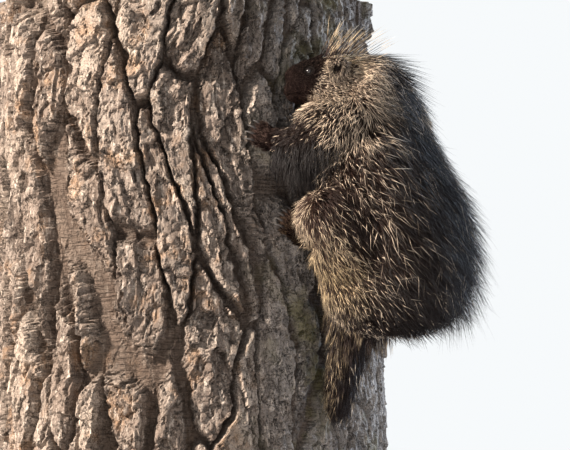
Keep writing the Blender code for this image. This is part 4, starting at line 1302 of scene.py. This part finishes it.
def lay_pale_hair(hide, pale):
    """Hairs and quills with bright tips, densest on the cheeks, neck and hips."""
    sparse = hide.long_fur * (1 - 0.7 * hide.crown) * (hide.pale**1.3 + 0.02) * (1 + 1.8 * hide.fore)
    tipped = Layer(hide, "pale_hair", sparse)
    flat = (1 - 0.35 * tipped.take(hide.ridge_line)) * (1 - 0.5 * tipped.take(hide.nape))
    size = tipped.length * DICE.uniform(0.45, 1.05, tipped.count)
    rise = tipped.depth * DICE.uniform(0.70, 1.05, tipped.count) * flat + 0.08 * size
    tipped.pale = 0.2 + 0.8 * smooth(DICE.random(tipped.count), 0.2, 0.7)
    fore = tipped.take(hide.fore)
    thick = (0.00118 - 0.0003 * fore) * DICE.uniform(0.6, 1.2, tipped.count)
    tipped.grow(size, rise, thick, yaw=0.50, clump=0.10, curl=0.18, hug=0.4)
    tipped.build(pale, profile=(0.45, 0.8, 1.0), shift=0.35 * fore)


def lay_long_hair(hide, dark):
    """The long thin fringe of the back and nape."""
    fringe = hide.body * (0.16 + hide.ridge_line**2 + 0.4 * hide.nape) * (1 - hide.face)
    long_dark = Layer(hide, "long_hair", fringe)
    size = 1.25 * long_dark.length * DICE.uniform(0.55, 1.25, long_dark.count)
    stand = 1 + 0.3 * long_dark.take(hide.ridge_line)
    rise = long_dark.depth * DICE.uniform(0.40, 1.1, long_dark.count) * stand
    long_dark.pale *= DICE.random(long_dark.count)
    thick = 0.0007 * DICE.uniform(0.7, 1.2, long_dark.count)
    long_dark.grow(size, rise, thick, yaw=0.45, clump=0.20, start=0.7, arch=0.2)
    long_dark.build(dark)


def lay_tail_hair(hide, pale):
    """Hair that hangs from the seat and from the edges of the tail."""
    seat = hide.on("torso", "hindleg") * smooth(0.41 - hide.z, 0.0, 0.05)
    seat *= smooth(0.10 - abs(hide.u), 0.0, 0.03)
    sides = hide.on("tail") * smooth(abs(np.cos(hide.angle)), 0.6, 0.95)
    sides *= 1 - smooth(hide.place, 0.75, 0.95)
    under_tail = (hide.v < 0.465) * hide.blur(0.8 * seat + 1.6 * sides, 4)
    skirt = Layer(hide, "tail_hair", under_tail)
    u, v, z = skirt.take(hide.u), skirt.take(hide.v), skirt.take(hide.z)
    skirt.lie = unit(-np.array(UP) + column(0.12 * np.sign(u)) * np.array(LEFT) + 0.1 * skirt.out)
    size = (0.078 - 0.040 * smooth(0.34 - z, 0.0, 0.08)) * DICE.uniform(0.4, 1.15, skirt.count)
    size *= 1 - 0.70 * smooth(v, 0.395, 0.440) * smooth(z, 0.30, 0.34)
    edge = smooth(abs(u - 0.015), 0.022, 0.040)
    skirt.pale = DICE.uniform(0.0, 1.0, skirt.count) * (0.06 + 0.74 * edge)
    skirt.golden[:] = 0.8
    thick = 0.0010 * DICE.uniform(0.7, 1.2, skirt.count)
    skirt.grow(size, 0.20 * size, thick, yaw=0.25, clump=0.45, start=0.8)
    skirt.build(pale)


def lay_arm_hair(hide, dark):
    """Long dark hair that hangs from the forelegs."""
    underarm = hide.on("foreleg") * smooth(-hide.normals[:, 2], -0.5, 0.3)
    underarm *= smooth(hide.place, 0.25, 0.5)
    arm = Layer(hide, "arm_hair", hide.blur(underarm, 3) * (1 - hide.small))
    arm.lie = unit(-np.array(UP) + 0.12 * np.array(BACK) + 0.15 * arm.out)
    size = 0.078 * DICE.uniform(0.30, 1.1, arm.count)
    arm.pale *= 0.5
    arm.grow(size, 0.14 * size, 0.0008 * np.ones(arm.count), yaw=0.40, clump=0.30, start=0.9)
    arm.build(dark)


def lay_crest(hide, pale):
    """The tall pale spikes on the crown."""
    crest = Layer(hide, "crest", smooth(hide.crown, 0.15, 0.6))
    behind = smooth(-crest.take(hide.forward), -0.035, 0.045)
    crest.lie = unit(-np.array(LOOK) + 0.05 * np.array(UP))[None] * np.ones((crest.count, 1))
    crest.out = unit(np.array(UP) + 0.4 * crest.out)
    size = (0.078 + 0.014 * behind) * DICE.uniform(0.25, 1.15, crest.count)
    crest.pale[:] = DICE.uniform(0.2, 1.0, crest.count)
    thick = 0.0012 * DICE.uniform(0.6, 1.2, crest.count)
    rise = (0.90 - 0.46 * behind) * size
    crest.grow(size, rise, thick, rings=4, start=0.85, yaw=0.75, clump=0.15, arch=0.15, curl=0.10)
    crest.build(pale, shift=0.30)


def lay_ear_fur(hide, pale):
    """The pale tufts of the ears."""
    ears = Layer(hide, "ear_fur", hide.blur(hide.on("ear"), 2))
    size = 0.017 * DICE.uniform(0.5, 1.3, ears.count)
    ears.pale = DICE.random(ears.count) ** 2
    ears.grow(size, 0.55 * size, 0.0010 * np.ones(ears.count), rings=2, yaw=0.6, clump=0.5)
    ears.build(pale, profile=(1.0, 0.9), shift=0.4)


def lay_short_fur(hide, short):
    """The short dark fur of the face and feet."""
    weight = np.clip(smooth(hide.face, 0.05, 0.5) + hide.small, 0, 1)
    face = Layer(hide, "short_fur", weight)
    face.pale = 0.9 * DICE.random(face.count) ** 3
    size = np.clip(face.length, 0.0050, 0.016) * DICE.uniform(0.6, 1.3, face.count)
    face.grow(size, 0.48 * size, 0.0007 * np.ones(face.count), rings=2, yaw=0.35, clump=0.15)
    face.build(short, profile=(1.0, 0.9))


def make_coat(hide):
    """All layers of the coat."""
    pale = fur_material("pale_hair", (0.62, 0.76))
    dark = fur_material("dark_hair")
    lay_underfur(hide, fur_material("wool"))
    lay_guard_hair(hide, fur_material("hair"))
    lay_pale_hair(hide, pale)
    lay_long_hair(hide, dark)
    lay_tail_hair(hide, pale)
    lay_arm_hair(hide, dark)
    lay_crest(hide, pale)
    lay_ear_fur(hide, pale)
    lay_short_fur(hide, fur_material("short_hair", roughness=0.8))


def make_eyes():
    """Dark glossy eyeballs."""
    balls = [ball("eye", eye_place(side), eye_axes(side), [EYE_RADIUS] * 3, 40, 24) for side in SIDES]
    eyes = fuse("eyes", balls)
    eyes.data.polygons.foreach_set("use_smooth", np.ones(len(eyes.data.polygons), bool))
    m = Material("eye")
    brown = m.mix(m.noise(160, 2), (0.008, 0.006, 0.006), (0.022, 0.014, 0.012))
    m.set(Base_Color=brown, Roughness=0.2)
    m.set(Coat_Weight=0.5, Coat_Roughness=0.04)
    dress(eyes, m)
    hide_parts("eye_left", "eye_right")


def make_claws(all_feet):
    """Long curved dark claws."""
    claws = fuse("claws", [claw for foot in all_feet.values() for claw in foot.claws()])
    points = points_of(claws.data)
    claws.data.vertices.foreach_set("co", clear_of_bark(points, 0.0004).astype(np.float32).ravel())
    claws.data.polygons.foreach_set("use_smooth", np.ones(len(claws.data.polygons), bool))
    m = Material("claw")
    grain = m.noise(300, 3, 0.6)
    horn = m.ramp(grain, (0.3, (0.012, 0.009, 0.008)), (0.7, (0.034, 0.026, 0.021)))
    m.set(Base_Color=horn, Roughness=0.6)
    m.bump(grain, 0.3, 0.0004)
    dress(claws, m)


def skin_material():
    """Short dark fur lying flat, warmer on the face and feet, and bare dark skin at the nose and soles."""
    m = Material("skin")
    warm, bare, pale = m.attribute("warm"), m.attribute("bare"), m.attribute("pale")
    strands = m.noise(760, 4, 0.65, m.stretched((1, 1, 0.35)))
    fur = m.mix(warm, (0.004, 0.003, 0.003), (0.015, 0.008, 0.007))
    fur = m.mix(m.math("MULTIPLY", pale, 0.06), fur, (0.20, 0.13, 0.08))
    fur = m.mix(m.ramp(strands, (0.36, 0.65), (0.62, 0.0)), fur, (0.010, 0.007, 0.006))
    m.set(Base_Color=m.mix(bare, fur, (0.009, 0.007, 0.006)), Roughness=0.9, Specular_IOR_Level=0.04)
    return m.bump(strands, 0.6, 0.0012)


def make_stand_finish():
    """Satin paint on the base and brushed steel on its rods, in the solids' own slots."""
    paint = Material("stand_paint")
    speckle = paint.noise(900, 2, 0.5)
    paint.set(Base_Color=paint.ramp(speckle, (0.3, (0.020, 0.020, 0.022)), (0.7, (0.034, 0.034, 0.037))))
    paint.set(Roughness=0.45, Specular_IOR_Level=0.4)
    paint.bump(speckle, 0.15, 0.0003)
    steel = Material("rod_steel")
    lines = steel.noise(1400, 2, 0.5, steel.stretched((1, 1, 0.02)))
    brushed = steel.ramp(lines, (0.3, (0.40, 0.40, 0.41)), (0.7, (0.56, 0.56, 0.57)))
    steel.set(Base_Color=brushed, Metallic=1.0, Roughness=0.32)
    steel.bump(lines, 0.2, 0.0002)
    for node, material in (("stand_base", paint), ("stand_rod_left", steel), ("stand_rod_right", steel)):
        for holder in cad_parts[node].material_slots:
            holder.material = material.made


def area_light(name, place, size, power, colour):
    """A soft light that faces the animal."""
    light = bpy.data.lights.new(name, "AREA")
    light.shape = "DISK"
    light.size = size
    light.energy = power
    light.color = colour
    obj = bpy.data.objects.new(name, light)
    obj.location = place
    obj.rotation_euler = (CAMERA_TARGET - Vector(place)).to_track_quat("-Z", "Y").to_euler()
    bpy.context.scene.collection.objects.link(obj)


def make_studio():
    """A pale floor, a warm light from the left, a cool one from behind on the right, and a pale surround."""
    bpy.ops.mesh.primitive_circle_add(vertices=96, radius=FLOOR_RADIUS, fill_type="NGON")
    floor = bpy.context.active_object
    floor.name = "floor"
    m = Material("floor")
    m.set(Base_Color=m.mix(m.noise(0.8, 3), (0.60, 0.605, 0.61), (0.64, 0.645, 0.65)), Roughness=0.7)
    away = m.nodes.new("ShaderNodeVectorMath")
    away.operation = "LENGTH"
    m.links.new(m.position, away.inputs[0])
    m.set(Alpha=m.ramp(m.math("MULTIPLY", away.outputs["Value"], 0.25), (0.25, 1.0), (0.9, 0.0)))
    floor.data.materials.append(m.made)
    for name, (place, size, power, colour) in LIGHTS.items():
        area_light(name, place, size, power, colour)
    world = bpy.data.worlds.new("studio")
    bpy.context.scene.world = world
    world.use_nodes = True
    nodes, links = world.node_tree.nodes, world.node_tree.links
    soft = nodes["Background"]
    soft.inputs["Color"].default_value = (0.92, 0.96, 1.0, 1)
    soft.inputs["Strength"].default_value = SOFT_LIGHT
    surround = nodes.new("ShaderNodeBackground")
    surround.inputs["Color"].default_value = (0.93, 0.955, 0.97, 1)
    seen = nodes.new("ShaderNodeLightPath")
    blend = nodes.new("ShaderNodeMixShader")
    links.new(seen.outputs["Is Camera Ray"], blend.inputs[0])
    links.new(soft.outputs[0], blend.inputs[1])
    links.new(surround.outputs[0], blend.inputs[2])
    links.new(blend.outputs[0], nodes["World Output"].inputs["Surface"])
    bpy.context.scene.view_settings.view_transform = "Standard"


def make_camera():
    """The photograph's view, from a little below the animal's middle."""
    camera = bpy.data.cameras.new("camera")
    camera.sensor_width = SENSOR_WIDTH
    camera.lens = SENSOR_WIDTH * CAMERA_DISTANCE / FRAME_WIDTH
    camera.clip_end = 200
    obj = bpy.data.objects.new("camera", camera)
    bpy.context.scene.collection.objects.link(obj)
    back = Vector((0, -math.cos(CAMERA_TILT), math.sin(CAMERA_TILT)))
    obj.location = CAMERA_TARGET + back * CAMERA_DISTANCE
    obj.rotation_mode = "QUATERNION"
    obj.rotation_quaternion = (-back).to_track_quat("-Z", "Y")
    bpy.context.scene.camera = obj


def main():
    make_camera()
    make_studio()
    make_stand_finish()
    make_bark()
    torso, head = torso_form(), head_form()
    all_feet = feet()
    forms = {"torso": torso, "head": head, "neck": neck_form(torso, head), "tail": tail_form()}
    forms.update(limb_forms(all_feet))
    skin = make_skin(forms, all_feet)
    hide = Hide(skin, forms, all_feet)
    for word in ("warm", "bare", "pale"):
        add_number(skin, word, getattr(hide, word))
    dress(skin, skin_material())
    limbs = [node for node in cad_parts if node.startswith(("fore", "hind"))]
    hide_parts("torso", "head", "neck", "tail", "ear_left", "ear_right", *limbs)
    make_eyes()
    make_claws(all_feet)
    make_coat(hide)


main()
